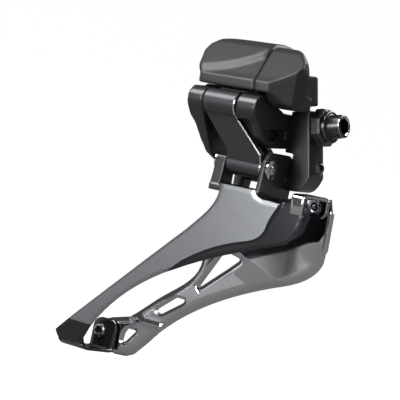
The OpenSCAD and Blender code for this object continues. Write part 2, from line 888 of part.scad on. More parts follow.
rivet_at = [tail_low[0] - 1.2, tail_low[1] + 5.4];
bridge_rivet_at = near(9.8, -25);

module tail_tab() {
    top = tail_low[1] + 10.4;
    low = tail_low[1] - 1.4;
    x0 = tail_back[0] + 6.8;
    x1 = tail_low[0] + 5.6;
    along_y([inner_face - 1, inner_face], concat(
        [[x0, low], [x1, low], [x1 + 0.4, top - 3]],
        curve([x1 + 0.2, top - 2.2], [x1 - 1, top - 0.6], [x1 - 3, top], [x1 - 5, top], 5),
        curve([x1 - 5, top], [x1 - 8, top], [x0 + 1.4, top - 2.4], [x0 + 1, top - 4], 5)
    ));
}

module bridge() {
    top = near(0, -21.2)[1];
    along_z([top - flange_t, top], [
        [bridge_x[0][0] + 1.6, outer_face + 0.4], [bridge_x[0][1], outer_face + 0.4],
        [bridge_x[1][1], inner_face - 1], [bridge_x[1][1], inner_face], [bridge_x[1][0], inner_face],
        [bridge_x[1][0], inner_face - 1]
    ]);
    along_y([inner_face - 1, inner_face], [
        [bridge_x[1][0], top], [bridge_x[1][0], top - 6], [bridge_x[1][0] + 1.4, top - 7],
        [bridge_x[1][1] - 1.4, top - 7], [bridge_x[1][1], top - 6], [bridge_x[1][1], top]
    ]);
}

inner_low_edge = concat(
    [near(14.2, -21.6), near(15.4, -25.6), near(15.4, -38)],
    curve(near(14.8, -42), near(13.4, -47.4), near(8, -50.2), near(2.9, -52.1), 8),
    curve(near(2.9, -52.1), cage(-22, -60.5), cage(-39.6, -72), cage(-49.4, -85.4), 14),
    [cage(-52.4, -88), cage(-55.7, -89.4), cage(-60.6, -89.8)]
);
inner_top_edge = concat(
    [cage(-62.8, -89.4), cage(-66, -86), cage(-64, -79), cage(-56.3, -75.4)],
    curve(cage(-49, -69.3), cage(-41, -62), cage(-30.5, -58), cage(-31, -50), 8),
    [near(-29.6, -40), near(-29.4, -31.5), near(-28.6, -28.4), near(-24.6, -24.7), near(-5, -24.7),
        near(3, -23.4), near(5.4, -21.6)]
);

// Triangle with round corners
module soft_triangle(span, corners, r) {
    mid = (corners[0] + corners[1] + corners[2]) / 3;
    along_y(span, [
        for (i = [0 : 2])
            let (
                a = corners[(i + 2) % 3],
                c = corners[i],
                b = corners[(i + 1) % 3],
                ua = unit(a - c),
                ub = unit(b - c)
            )
                for (t = [0 : 0.25 : 1])
                    (1 - t) * (1 - t) * (c + ua * r) + 2 * t * (1 - t) * c + t * t * (c + ub * r)
    ]);
}

window_corners = [cage(-31.8, -60.6), cage(-13, -46.8), cage(-29.6, -45.4)];

module inner_cage_plate() {
    color("#a9abb0") mech() difference() {
        union() {
            along_y([inner_face, inner_back], concat(inner_low_edge, inner_top_edge));
            translate([15.3, inner_face + 0.4, near(0, -38)[1]]) cylinder(h = 12.6, r = 1);
        }
        soft_triangle([inner_face - 1, inner_back + 1], window_corners, 3);
        along_y([inner_face - 1, inner_back + 1], [
            cage(-45.9, -70.8), cage(-43.8, -71.8), cage(-35.4, -66), cage(-35, -64.9), cage(-38.3, -64.8)
        ]);
        along_y([inner_face - 1, inner_back + 1], [
            cage(-58.2, -84.6), cage(-57, -84.6), cage(-52.9, -79.8), cage(-56.4, -79.7), cage(-57.8, -81.8)
        ]);
        for (x = side_rivet_x)
            y_bar([-30, 10], [x, web_low - 2.3], rivet_r);
        y_bar([-30, 10], rivet_at, rivet_r);
        y_bar([-30, 10], bridge_rivet_at, rivet_r);
    }
}

module plate_rivets() {
    color("silver") mech() for (x = top_rivet_x)
        translate([x, top_rivet_y, 0]) {
            translate([0, 0, web_low]) cylinder(h = web_t + flange_t, r = rivet_r);
            translate([0, 0, web_low - 0.5]) cylinder(h = 0.5, r = rivet_r + 0.7);
        }
}

module flange_rivets() {
    color("silver") mech() for (x = side_rivet_x) {
        y_bar([inner_face, flange_end], [x, web_low - 2.3], rivet_r);
        y_bar([flange_end, flange_end + 0.6], [x, web_low - 2.3], rivet_r + 0.8);
    }
}

module through_rivet(at) {
    y_bar([inner_face - 1, inner_back], at, rivet_r);
    y_bar([inner_back, inner_back + 0.6], at, rivet_r + 0.8);
    difference() {
        y_bar([inner_face - 1.8, inner_face - 1], at, rivet_r + 1.1);
        y_bar([inner_face - 3, inner_face - 1.4], at, rivet_r);
    }
}

module bridge_rivet() {
    color("silver") mech() through_rivet(bridge_rivet_at);
}

module tail_rivet() {
    color("silver") mech() through_rivet(rivet_at);
}

base_bracket();
clamp_block();
block_screws();
clamp_bolt();
radius_washer();
support_bolt();
wall_screw();
upper_outer_pin();
upper_inner_pin();
motor_shell();
front_cover();
cover_gasket();
cover_screws();
unit_screws();
motor_can();
motor_rotor();
idler_gear();
idler_pin();
gear_plate();
output_gear();
output_shaft();
shaft_bush();
shaft_seal();
drive_arm();
arm_pin();
drive_link();
horn_pin();
circuit_board();
position_sensor();
port_insert();
contact_pins();
outer_link();
inner_link();
carrier();
lower_outer_pin();
lower_inner_pin();
retaining_rings();
outer_cage_plate();
inner_cage_plate();
plate_rivets();
flange_rivets();
bridge_rivet();
tail_rivet();
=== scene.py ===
import json
import math

import bmesh
import bpy
import numpy as np
from mathutils import Matrix, Vector
from mathutils.geometry import delaunay_2d_cdt


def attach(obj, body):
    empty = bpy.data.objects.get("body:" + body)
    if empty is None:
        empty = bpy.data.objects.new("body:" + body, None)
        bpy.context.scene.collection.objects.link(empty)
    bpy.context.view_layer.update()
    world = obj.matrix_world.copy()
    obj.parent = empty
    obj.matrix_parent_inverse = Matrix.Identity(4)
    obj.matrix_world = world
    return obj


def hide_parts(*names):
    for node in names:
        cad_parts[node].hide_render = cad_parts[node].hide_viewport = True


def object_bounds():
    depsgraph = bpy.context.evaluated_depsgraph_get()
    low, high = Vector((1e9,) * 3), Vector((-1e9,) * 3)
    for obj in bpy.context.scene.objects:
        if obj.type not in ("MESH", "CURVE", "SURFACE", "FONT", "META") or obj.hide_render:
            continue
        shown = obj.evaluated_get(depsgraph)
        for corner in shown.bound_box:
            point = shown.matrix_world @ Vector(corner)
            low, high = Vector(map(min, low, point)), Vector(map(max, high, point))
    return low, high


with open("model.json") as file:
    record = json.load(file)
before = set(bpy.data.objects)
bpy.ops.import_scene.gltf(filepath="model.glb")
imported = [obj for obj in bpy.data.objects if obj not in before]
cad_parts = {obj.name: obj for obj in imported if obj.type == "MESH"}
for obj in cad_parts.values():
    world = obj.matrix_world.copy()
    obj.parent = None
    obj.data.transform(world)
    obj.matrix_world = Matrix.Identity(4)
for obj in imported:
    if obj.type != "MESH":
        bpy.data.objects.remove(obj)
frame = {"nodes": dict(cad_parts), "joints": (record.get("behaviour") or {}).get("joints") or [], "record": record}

cad_box = [list(corner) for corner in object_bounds()]
JOINTS = {joint["name"]: joint for joint in frame["joints"]}
MM = 0.001

# The link pins give the mechanism's own frame: x along them, y towards the frame, z square to both.
PITCH = math.asin(JOINTS["shift"]["axis"][2])
MECH = Matrix.Rotation(PITCH, 4, "Y")


def mech_box(node):
    """Lowest and highest corner of a CAD node in the mechanism's frame, in mm."""
    turn = MECH.inverted()
    points = [turn @ (vertex.co / MM) for vertex in frame["nodes"][node].data.vertices]
    low = Vector([min(point[i] for point in points) for i in range(3)])
    high = Vector([max(point[i] for point in points) for i in range(3)])
    return low, high


def pin_axis(node):
    low, high = mech_box(node)
    return (low + high) / 2


PIVOT_B = pin_axis("lower_outer_pin")
NECK_Z = PIVOT_B.z - 7.6
OUTER_FACE = mech_box("outer_cage_plate")[0].y
CAGE_WIDTH = 13.0
INNER_FACE = OUTER_FACE + CAGE_WIDTH
PLATE_T = 1.2


# ---------- shader groups ----------

def shader_group(name, inputs, outputs):
    """A shader node group with float inputs {name: default} and outputs [(name, socket type)]."""
    tree = bpy.data.node_groups.new(name, "ShaderNodeTree")
    tree.interface.new_socket("Vector", in_out="INPUT", socket_type="NodeSocketVector")
    for label, default in inputs.items():
        socket = tree.interface.new_socket(label, in_out="INPUT", socket_type="NodeSocketFloat")
        socket.default_value = default
    for label in outputs:
        tree.interface.new_socket(label, in_out="OUTPUT", socket_type="NodeSocketFloat")
    start = tree.nodes.new("NodeGroupInput")
    end = tree.nodes.new("NodeGroupOutput")
    return tree, start, end


def math_node(tree, operation, a, b=None, clamp=False):
    node = tree.nodes.new("ShaderNodeMath")
    node.operation = operation
    node.use_clamp = clamp
    for socket, value in zip(node.inputs, (a, b)):
        if value is None:
            continue
        if isinstance(value, (int, float)):
            socket.default_value = value
        else:
            tree.links.new(value, socket)
    return node.outputs[0]


def noise_node(tree, vector, scale, detail=3.0, roughness=0.55):
    node = tree.nodes.new("ShaderNodeTexNoise")
    node.inputs["Detail"].default_value = detail
    node.inputs["Roughness"].default_value = roughness
    tree.links.new(vector, node.inputs["Vector"])
    if isinstance(scale, (int, float)):
        node.inputs["Scale"].default_value = scale
    else:
        tree.links.new(scale, node.inputs["Scale"])
    return node.outputs["Fac"]


def grain_group():
    """Fine moulded or painted grain: small even bumps with a few larger ones."""
    tree, start, end = shader_group("surface_grain", {"Scale": 3000, "Coarse": 0.3}, ["Height", "Tone"])
    fine = noise_node(tree, start.outputs["Vector"], start.outputs["Scale"], 2.0)
    wide_scale = math_node(tree, "MULTIPLY", start.outputs["Scale"], 0.23)
    wide = noise_node(tree, start.outputs["Vector"], wide_scale, 2.0)
    mixed = math_node(tree, "MULTIPLY", wide, start.outputs["Coarse"])
    tree.links.new(math_node(tree, "ADD", fine, mixed), end.inputs["Height"])
    tree.links.new(math_node(tree, "SUBTRACT", fine, 0.5), end.inputs["Tone"])
    return tree


def wear_group():
    """Mask of worn edges, from a mesh's pointiness broken up by noise."""
    tree, start, end = shader_group("edge_wear", {"Edge": 0.5, "Amount": 0.5, "Scale": 400}, ["Mask"])
    breakup = noise_node(tree, start.outputs["Vector"], start.outputs["Scale"], 4.0, 0.65)
    raised = math_node(tree, "SUBTRACT", start.outputs["Edge"], 0.53)
    sharp = math_node(tree, "MULTIPLY", raised, 14.0, clamp=True)
    patchy = math_node(tree, "MULTIPLY", sharp, math_node(tree, "SUBTRACT", breakup, 0.25, clamp=True))
    mask = math_node(tree, "MULTIPLY", patchy, start.outputs["Amount"], clamp=True)
    tree.links.new(mask, end.inputs["Mask"])
    return tree


def brushed_group():
    """Long fine lines of a brushed or polished sheet, along the first axis of the given vector."""
    tree, start, end = shader_group("brushed_lines", {"Scale": 900, "Stretch": 0.02}, ["Lines"])
    squeeze = tree.nodes.new("ShaderNodeVectorMath")
    squeeze.operation = "MULTIPLY"
    scale = tree.nodes.new("ShaderNodeCombineXYZ")
    tree.links.new(start.outputs["Stretch"], scale.inputs["X"])
    scale.inputs["Y"].default_value = 1
    scale.inputs["Z"].default_value = 1
    tree.links.new(start.outputs["Vector"], squeeze.inputs[0])
    tree.links.new(scale.outputs[0], squeeze.inputs[1])
    lines = noise_node(tree, squeeze.outputs[0], start.outputs["Scale"], 4.0, 0.7)
    tree.links.new(lines, end.inputs["Lines"])
    return tree


def smudge_group():
    """Slow changes of gloss, as of handled metal."""
    tree, start, end = shader_group("handling_smudge", {"Scale": 60, "Depth": 0.1}, ["Change"])
    slow = noise_node(tree, start.outputs["Vector"], start.outputs["Scale"], 5.0, 0.6)
    centred = math_node(tree, "SUBTRACT", slow, 0.5)
    tree.links.new(math_node(tree, "MULTIPLY", centred, start.outputs["Depth"]), end.inputs["Change"])
    return tree


GRAIN = grain_group()
WEAR = wear_group()
BRUSHED = brushed_group()
SMUDGE = smudge_group()


# ---------- materials ----------

class Finish:
    """A Principled material whose colour, gloss and normal are built up step by step."""

    def __init__(self, name, color, metallic, roughness, turn=(0, 0, 0), coat=0.0, specular=0.5):
        self.material = bpy.data.materials.new(name)
        self.material.use_nodes = True
        self.tree = self.material.node_tree
        self.shader = self.tree.nodes["Principled BSDF"]
        self.shader.inputs["Metallic"].default_value = metallic
        self.shader.inputs["Coat Weight"].default_value = coat
        self.shader.inputs["Coat Roughness"].default_value = 0.12
        self.shader.inputs["Specular IOR Level"].default_value = specular
        place = self.tree.nodes.new("ShaderNodeTexCoord")
        mapping = self.tree.nodes.new("ShaderNodeMapping")
        mapping.inputs["Rotation"].default_value = turn
        self.tree.links.new(place.outputs["Object"], mapping.inputs["Vector"])
        self.place = mapping.outputs[0]
        self.color = (*color, 1)
        self.roughness = roughness
        self.metallic = metallic
        self.height = None

    def group(self, group, **values):
        node = self.tree.nodes.new("ShaderNodeGroup")
        node.node_tree = group
        self.tree.links.new(self.place, node.inputs["Vector"])
        for label, value in values.items():
            if isinstance(value, (int, float)):
                node.inputs[label].default_value = value
            else:
                self.tree.links.new(value, node.inputs[label])
        return node.outputs

    def mix_color(self, factor, other):
        mix = self.tree.nodes.new("ShaderNodeMix")
        mix.data_type = "RGBA"
        self.tree.links.new(factor, mix.inputs["Factor"])
        for socket, value in ((mix.inputs["A"], self.color), (mix.inputs["B"], (*other, 1))):
            if isinstance(value, tuple):
                socket.default_value = value
            else:
                self.tree.links.new(value, socket)
        self.color = mix.outputs["Result"]
        return self

    def add_roughness(self, change):
        self.roughness = math_node(self.tree, "ADD", change, self.roughness, clamp=True)
        return self

    def grain(self, scale, depth, coarse=0.3, tone=0.0, other=(0, 0, 0)):
        out = self.group(GRAIN, Scale=scale, Coarse=coarse)
        self.height = (out["Height"], depth)
        if tone:
            self.mix_color(math_node(self.tree, "MULTIPLY", out["Tone"], tone, clamp=True), other)
        return self

    def brushed(self, scale, stretch, depth, gloss):
        out = self.group(BRUSHED, Scale=scale, Stretch=stretch)
        self.height = (out["Lines"], depth)
        uneven = math_node(self.tree, "SUBTRACT", out["Lines"], 0.5)
        self.add_roughness(math_node(self.tree, "MULTIPLY", uneven, gloss))
        return self

    def smudged(self, scale, depth):
        return self.add_roughness(self.group(SMUDGE, Scale=scale, Depth=depth)["Change"])

    def worn(self, amount, other, scale=500):
        edge = self.tree.nodes.new("ShaderNodeNewGeometry").outputs["Pointiness"]
        mask = self.group(WEAR, Edge=edge, Amount=amount, Scale=scale)["Mask"]
        self.mix_color(mask, other)
        self.add_roughness(math_node(self.tree, "MULTIPLY", mask, -0.12))
        return self

    def done(self):
        links = self.tree.links
        if isinstance(self.color, tuple):
            self.shader.inputs["Base Color"].default_value = self.color
        else:
            links.new(self.color, self.shader.inputs["Base Color"])
        if isinstance(self.roughness, (int, float)):
            self.shader.inputs["Roughness"].default_value = self.roughness
        else:
            links.new(self.roughness, self.shader.inputs["Roughness"])
        if self.height:
            bump = self.tree.nodes.new("ShaderNodeBump")
            bump.inputs["Strength"].default_value = self.height[1]
            bump.inputs["Distance"].default_value = 0.05 * MM
            links.new(self.height[0], bump.inputs["Height"])
            links.new(bump.outputs[0], self.shader.inputs["Normal"])
        return self.material


def moulded_plastic():
    finish = Finish("moulded_charcoal_plastic", (0.026, 0.0265, 0.028), 0.0, 0.42)
    finish.grain(5200, 0.55, 0.35, tone=0.9, other=(0.06, 0.061, 0.065)).smudged(45, 0.12)
    return finish.worn(0.35, (0.08, 0.08, 0.084)).done()


def satin_black(name="satin_black_paint", color=(0.016, 0.016, 0.017), roughness=0.36):
    finish = Finish(name, color, 0.0, roughness, coat=0.25, specular=0.6)
    finish.grain(2600, 0.3, 0.5, tone=0.5, other=(0.04, 0.04, 0.042)).smudged(70, 0.16)
    return finish.worn(0.5, (0.16, 0.16, 0.17)).done()


def link_satin():
    finish = Finish("link_satin_grey", (0.07, 0.071, 0.078), 0.65, 0.34, turn=(0, math.radians(45), 0))
    finish.grain(4200, 0.22, 0.2, tone=0.35, other=(0.12, 0.12, 0.13)).smudged(55, 0.1)
    return finish.done()


def cut_edge():
    finish = Finish("bright_cut_edge", (0.8, 0.8, 0.82), 1.0, 0.14)
    return finish.brushed(1400, 0.05, 0.1, 0.1).done()


def plate_satin():
    finish = Finish("outer_plate_satin", (0.34, 0.35, 0.37), 1.0, 0.3, turn=(0, math.radians(-45), 0))
    finish.brushed(1500, 0.04, 0.12, 0.12).smudged(40, 0.08)
    return finish.worn(0.5, (0.6, 0.6, 0.62)).done()


# Painted shade: the outer plate's lower strip, turned-in tail and top collar take this dark colour because they
# face away from the light; only the lower roughness stands for a real polish.
def outer_strip_painted_shade():
    finish = Finish("outer_plate_polish_painted_shade", (0.085, 0.087, 0.094), 1.0, 0.2)
    return finish.brushed(1500, 0.05, 0.06, 0.08).smudged(60, 0.1).done()


def plate_polish():
    finish = Finish("inner_plate_polish", (0.62, 0.625, 0.645), 1.0, 0.09, turn=(0, math.radians(-38), 0))
    finish.brushed(1300, 0.03, 0.08, 0.09).smudged(50, 0.1)
    return finish.worn(0.4, (0.75, 0.75, 0.77)).done()


def chrome():
    finish = Finish("polished_steel", (0.72, 0.72, 0.74), 1.0, 0.1)
    return finish.brushed(2200, 0.2, 0.06, 0.08).smudged(90, 0.08).done()


# Gloss black is the tail tab's own colour; the same material fills the tail rivet's bore as painted shade in the
# hole.
def gloss_black_and_bore_shade():
    finish = Finish("gloss_black_steel_and_bore_shade", (0.012, 0.012, 0.013), 0.0, 0.16, coat=0.6, specular=0.7)
    return finish.grain(1800, 0.06, 0.4, tone=0.2, other=(0.03, 0.03, 0.03)).smudged(60, 0.12).done()


def bolt_dark():
    finish = Finish("dark_plated_steel", (0.085, 0.085, 0.09), 1.0, 0.3, turn=(0, 0, math.radians(90)))
    finish.brushed(2600, 0.1, 0.14, 0.16).smudged(110, 0.12)
    return finish.worn(0.7, (0.45, 0.45, 0.47)).done()


def steel(name="machined_steel", color=(0.5, 0.5, 0.51), roughness=0.24):
    finish = Finish(name, color, 1.0, roughness, turn=(0, 0, math.radians(90)))
    return finish.brushed(2400, 0.08, 0.12, 0.14).smudged(90, 0.1).done()


def brass():
    finish = Finish("machined_brass", (0.66, 0.47, 0.2), 1.0, 0.24)
    return finish.brushed(2400, 0.1, 0.1, 0.1).smudged(90, 0.12).done()


def rubber():
    finish = Finish("seal_rubber", (0.012, 0.012, 0.012), 0.0, 0.62)
    return finish.grain(2600, 0.4, 0.6, tone=0.3, other=(0.03, 0.03, 0.03)).done()


def board():
    finish = Finish("board_solder_mask", (0.01, 0.09, 0.035), 0.0, 0.3, coat=0.4)
    return finish.grain(900, 0.1, 0.6, tone=0.4, other=(0.02, 0.14, 0.06)).done()


MATERIALS = {
    "base": satin_black(),
    "block": satin_black("satin_black_block", (0.014, 0.014, 0.015), 0.33),
    "bolt": bolt_dark(),
    "washer": satin_black("washer_black", (0.022, 0.022, 0.023), 0.24),
    "steel": steel(),
    "chrome": chrome(),
    "housing": moulded_plastic(),
    "gasket": rubber(),
    "link": link_satin(),
    "inner_link": satin_black("inner_link_paint", (0.03, 0.03, 0.032), 0.32),
    "outer_plate": plate_satin(),
    "inner_plate": plate_polish(),
    "motor": steel("drawn_motor_can", (0.45, 0.45, 0.46), 0.34),
    "brass": brass(),
    "board": board(),
    "black_plastic": satin_black("black_plastic", (0.018, 0.018, 0.019), 0.45),
}
CUT_EDGE = cut_edge()
PLATE_PAINTED_SHADE = outer_strip_painted_shade()
GLOSS_BLACK_AND_BORE_SHADE = gloss_black_and_bore_shade()
SLOT_OF = {part["node"]: part["material_slot"] for part in frame["record"]["subparts"]}
BODY_OF = {node: body for body, nodes in frame["record"]["behaviour"]["bodies"].items() for node in nodes}


def dress_cad_nodes():
    """Every CAD node shows its slot's procedural material."""
    for name, node in frame["nodes"].items():
        node.data.materials.clear()
        node.data.materials.append(MATERIALS[SLOT_OF[name]])


# ---------- mesh tools, in mm ----------

def new_object(name, bm, materials):
    mesh = bpy.data.meshes.new(name)
    bm.to_mesh(mesh)
    bm.free()
    piece = bpy.data.objects.new(name, mesh)
    bpy.context.scene.collection.objects.link(piece)
    for material in materials:
        mesh.materials.append(material)
    return piece


def apply_modifiers(piece):
    """Turns the evaluated piece into its own plain mesh."""
    bpy.context.view_layer.update()
    evaluated = piece.evaluated_get(bpy.context.evaluated_depsgraph_get())
    mesh = bpy.data.meshes.new_from_object(evaluated)
    old = piece.data
    piece.modifiers.clear()
    piece.data = mesh
    bpy.data.meshes.remove(old)
    return piece


def add_modifier(piece, kind, **values):
    modifier = piece.modifiers.new(kind.lower(), kind)
    for label, value in values.items():
        setattr(modifier, label, value)
    return modifier


def smooth_faces(piece, angle=None):
    for polygon in piece.data.polygons:
        polygon.use_smooth = True
    if angle is not None:
        bm = bmesh.new()
        bm.from_mesh(piece.data)
        for edge in bm.edges:
            sharp = len(edge.link_faces) == 2 and edge.calc_face_angle(0) > math.radians(angle)
            edge.smooth = not sharp
        bm.to_mesh(piece.data)
        bm.free()
    return piece


def settle(piece, node, body=None, replace=()):
    """A piece made in mm takes its real size, rides on its body and stands for its CAD nodes."""
    piece.data.transform(Matrix.Scale(MM, 4))
    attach(piece, body or BODY_OF[node])
    if replace:
        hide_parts(*replace)
    return piece


def cad_copy(node):
    """The CAD node's surface as one merged mesh, in mm."""
    bm = bmesh.new()
    bm.from_mesh(frame["nodes"][node].data)
    bmesh.ops.transform(bm, matrix=Matrix.Scale(1 / MM, 4), verts=bm.verts)
    bmesh.ops.remove_doubles(bm, verts=bm.verts, dist=0.002)
    bmesh.ops.recalc_face_normals(bm, faces=bm.faces)
    return bm


def rounded_copy(node, name, materials, voxel=0.3, passes=6):
    """The CAD shape with every edge softened, as a cast or forged piece has."""
    piece = new_object(name, cad_copy(node), materials)
    add_modifier(piece, "REMESH", mode="VOXEL", voxel_size=voxel, adaptivity=0.0)
    add_modifier(piece, "SMOOTH", factor=0.5, iterations=passes)
    apply_modifiers(piece)
    return smooth_faces(piece)


def bevelled_copy(node, name, materials, width=0.25, segments=2, angle=32, edge_slot=-1):
    """The CAD shape with its sharp edges cut back, and its flat faces kept flat."""
    bm = cad_copy(node)
    bmesh.ops.dissolve_limit(bm, angle_limit=math.radians(0.5), verts=bm.verts, edges=bm.edges)
    piece = new_object(name, bm, materials)
    add_modifier(piece, "BEVEL", width=width, segments=segments, limit_method="ANGLE",
                 angle_limit=math.radians(angle), material=edge_slot, use_clamp_overlap=True)
    apply_modifiers(piece)
    return smooth_faces(piece, 28)


def curve(p0, p1, p2, p3, steps):
    """Points of a cubic curve, without its last point."""
    out = []
    for i in range(steps):
        t = i / steps
        s = 1 - t
        out.append([s ** 3 * a + 3 * s * s * t * b + 3 * s * t * t * c + t ** 3 * d
                    for a, b, c, d in zip(p0, p1, p2, p3)])
    return out


def ease(t):
    t = np.clip(t, 0.0, 1.0)
    return t * t * (3 - 2 * t)


def corners_rounded(points, radius, steps=5, closed=True):
    """Each corner of an outline, or of a path's inside, becomes a short curve."""
    points = [Vector(p) for p in points]
    out = []
    for i, corner in enumerate(points):
        if not closed and i in (0, len(points) - 1):
            out.append(corner)
            continue
        before = points[i - 1]
        after = points[(i + 1) % len(points)]
        start = corner.lerp(before, min(0.49, radius / (Vector(before[:2]) - Vector(corner[:2])).length))
        end = corner.lerp(after, min(0.49, radius / (Vector(after[:2]) - Vector(corner[:2])).length))
        for k in range(steps + 1):
            t = k / steps
            out.append(start.lerp(corner, t).lerp(corner.lerp(end, t), t))
    return out


def resampled(points, step, closed=True):
    """The same line with points no further apart than step, as an array."""
    ends = points[1:] + points[:1] if closed else points[1:]
    out = []
    for a, b in zip(points, ends):
        a, b = Vector(a), Vector(b)
        count = max(1, math.ceil((b - a).length / step))
        out += [a.lerp(b, i / count) for i in range(count)]
    if not closed:
        out.append(Vector(points[-1]))
    return np.array([p[:] for p in out])


def nearest_segment(points, line, closed):
    """Distance of each point to a line, and which side of it the point lies on (left is +1)."""
    a = line if closed else line[:-1]
    b = np.roll(line, -1, axis=0) if closed else line[1:]
    along = b - a
    away = points[:, None, :] - a[None, :, :]
    t = np.clip((away * along).sum(2) / (along * along).sum(1), 0, 1)
    gap = away - t[..., None] * along
    distance = np.hypot(gap[..., 0], gap[..., 1])
    best = distance.argmin(1)
    rows = np.arange(len(points))
    cross = along[best, 0] * away[rows, best, 1] - along[best, 1] * away[rows, best, 0]
    return distance[rows, best], np.where(cross >= 0, 1.0, -1.0)


class Outline:
    """A closed outline that says how far inside it points lie."""

    def __init__(self, points, step=0.6):
        self.line = resampled([tuple(p)[:2] for p in points], step)

    def depth(self, points):
        distance, _ = nearest_segment(points, self.line, True)
        a, b = self.line, np.roll(self.line, -1, axis=0)
        x, z = points[:, None, 0], points[:, None, 1]
        rise = np.where(a[:, 1] == b[:, 1], 1.0, b[:, 1] - a[:, 1])
        crosses = (a[:, 1] > z) != (b[:, 1] > z)
        left = x < a[:, 0] + (z - a[:, 1]) * (b[:, 0] - a[:, 0]) / rise
        inside = (crosses & left).sum(1) % 2 == 1
        return np.where(inside, distance, -distance)

    def grown(self, d):
        """The outline moved outwards by d."""
        ahead = np.roll(self.line, -1, axis=0) - np.roll(self.line, 1, axis=0)
        ahead /= np.hypot(ahead[:, 0], ahead[:, 1])[:, None]
        out = np.stack([ahead[:, 1], -ahead[:, 0]], 1)
        x, z = self.line[:, 0], self.line[:, 1]
        turn = np.sign(np.sum(x * np.roll(z, -1) - np.roll(x, -1) * z))
        return self.line + out * turn * d


def side_of(line, points):
    """How far each point lies to the left of an open line."""
    distance, side = nearest_segment(points, line, False)
    return distance * side


def shifted(line, by):
    """A line moved sideways, to its left."""
    ways = np.gradient(line, axis=0)
    ways /= np.linalg.norm(ways, axis=1)[:, None]
    return line + by * np.stack([-ways[:, 1], ways[:, 0]], 1)


def sheet_points(outline, holes, lines, cell):
    """Vertices and edges of a sheet's flat pattern: its borders, its pressed lines and a grid between."""
    closed = [outline.line] + [hole.line for hole in holes]
    loops = [(line, True) for line in closed] + lines
    verts = []
    edges = []
    for line, is_loop in loops:
        start, count = len(verts), len(line)
        verts += [tuple(p) for p in line]
        edges += [(start + i, start + i + 1) for i in range(count - 1)]
        if is_loop:
            edges.append((start + count - 1, start))
    low, high = outline.line.min(0), outline.line.max(0)
    rows = np.arange(low[1], high[1], cell * 0.87)
    grid = np.array([(x + (cell / 2 if k % 2 else 0), z)
                     for k, z in enumerate(rows) for x in np.arange(low[0], high[0], cell)])
    keep = outline.depth(grid) > cell * 0.5
    for hole in holes:
        keep &= hole.depth(grid) < -cell * 0.5
    for line, is_loop in lines:
        keep &= nearest_segment(grid, line, is_loop)[0] > cell * 0.4
    return verts + [tuple(p) for p in grid[keep]], edges


def pressed_sheet(name, outline, holes, lines, relief, face, thickness, materials, pick, cell=0.8, crease=14):
    """Sheet metal pressed to relief(points), its outer side at y = face, its thickness towards +y."""
    verts, edges = sheet_points(outline, holes, lines, cell)
    flat, _, triangles, _, _, _ = delaunay_2d_cdt([Vector(v) for v in verts], edges, [], 0, 1e-4)
    places = np.array([tuple(p) for p in flat])
    middles = np.array([places[list(t)].mean(0) for t in triangles])
    kept = outline.depth(middles) > 0
    for hole in holes:
        kept &= hole.depth(middles) < 0
    finish = pick(middles)
    lift = relief(places)
    bm = bmesh.new()
    points = [bm.verts.new((p[0], face + y, p[1])) for p, y in zip(places, lift)]
    for triangle, wanted, slot in zip(triangles, kept, finish):
        if wanted:
            bm.faces.new([points[i] for i in triangle]).material_index = int(slot)
    bmesh.ops.delete(bm, geom=[v for v in bm.verts if not v.link_faces], context="VERTS")
    bm.normal_update()
    for made in bm.faces:
        if made.normal.y > 0:
            made.normal_flip()
    piece = new_object(name, bm, materials)
    add_modifier(piece, "SOLIDIFY", thickness=thickness, offset=-1, use_even_offset=True)
    add_modifier(piece, "BEVEL", width=0.16, segments=2, limit_method="ANGLE", angle_limit=math.radians(55))
    apply_modifiers(piece)
    piece.data.transform(MECH)
    return smooth_faces(piece, crease)


def bent_strip(name, path, radius, thickness, materials, columns=6):
    """A strip of sheet bent along a path of (y, z, low x, high x)."""
    rows = corners_rounded([(*p[:2], *p[2:]) for p in path], radius, 6, closed=False)
    bm = bmesh.new()
    grid = [[bm.verts.new((low + (high - low) * k / columns, y, z)) for k in range(columns + 1)]
            for y, z, low, high in rows]
    for upper, lower in zip(grid, grid[1:]):
        for k in range(columns):
            bm.faces.new((upper[k], upper[k + 1], lower[k + 1], lower[k]))
    piece = new_object(name, bm, materials)
    add_modifier(piece, "SOLIDIFY", thickness=thickness, offset=0, use_even_offset=True)
    add_modifier(piece, "BEVEL", width=0.18, segments=2, limit_method="ANGLE", angle_limit=math.radians(55))
    apply_modifiers(piece)
    piece.data.transform(MECH)
    return smooth_faces(piece, 30)


def ring_radius(angle, radius, sides):
    """Radius at an angle of a round ring, or of a polygon of that inner radius."""
    if not sides:
        return radius
    part = 2 * math.pi / sides
    return radius / math.cos((angle + part / 2) % part - part / 2)


def turned(name, origin, direction, rings, materials, bored=False, segments=48):
    """A turned piece: rings of (along, radius, sides, finish), from one end to the other along direction."""
    bm = bmesh.new()
    loops = []
    for ring in rings:
        along, radius, sides, _ = (*ring, 0, 0)[:4]
        if radius == 0:
            loops.append([bm.verts.new((0, 0, along))])
            continue
        angles = [2 * math.pi * k / segments for k in range(segments)]
        loops.append([bm.verts.new((ring_radius(a, radius, sides) * math.cos(a),
                                    ring_radius(a, radius, sides) * math.sin(a), along)) for a in angles])
    pairs = list(zip(loops, loops[1:]))
    if bored:
        pairs.append((loops[-1], loops[0]))
    for index, (low, high) in enumerate(pairs):
        finish = (*rings[index], 0, 0)[3]
        for k in range(segments):
            corners = [low[k % len(low)], low[(k + 1) % len(low)]]
            corners += [high[(k + 1) % len(high)], high[k % len(high)]]
            unique = list(dict.fromkeys(corners))
            if len(unique) > 2:
                bm.faces.new(unique).material_index = finish
    bmesh.ops.recalc_face_normals(bm, faces=bm.faces)
    turn = Vector(direction).to_track_quat("Z", "Y").to_matrix().to_4x4()
    bmesh.ops.transform(bm, matrix=Matrix.Translation(origin) @ turn, verts=bm.verts)
    return smooth_faces(new_object(name, bm, materials), 24)


# ---------- repeated pieces, in geometry nodes ----------

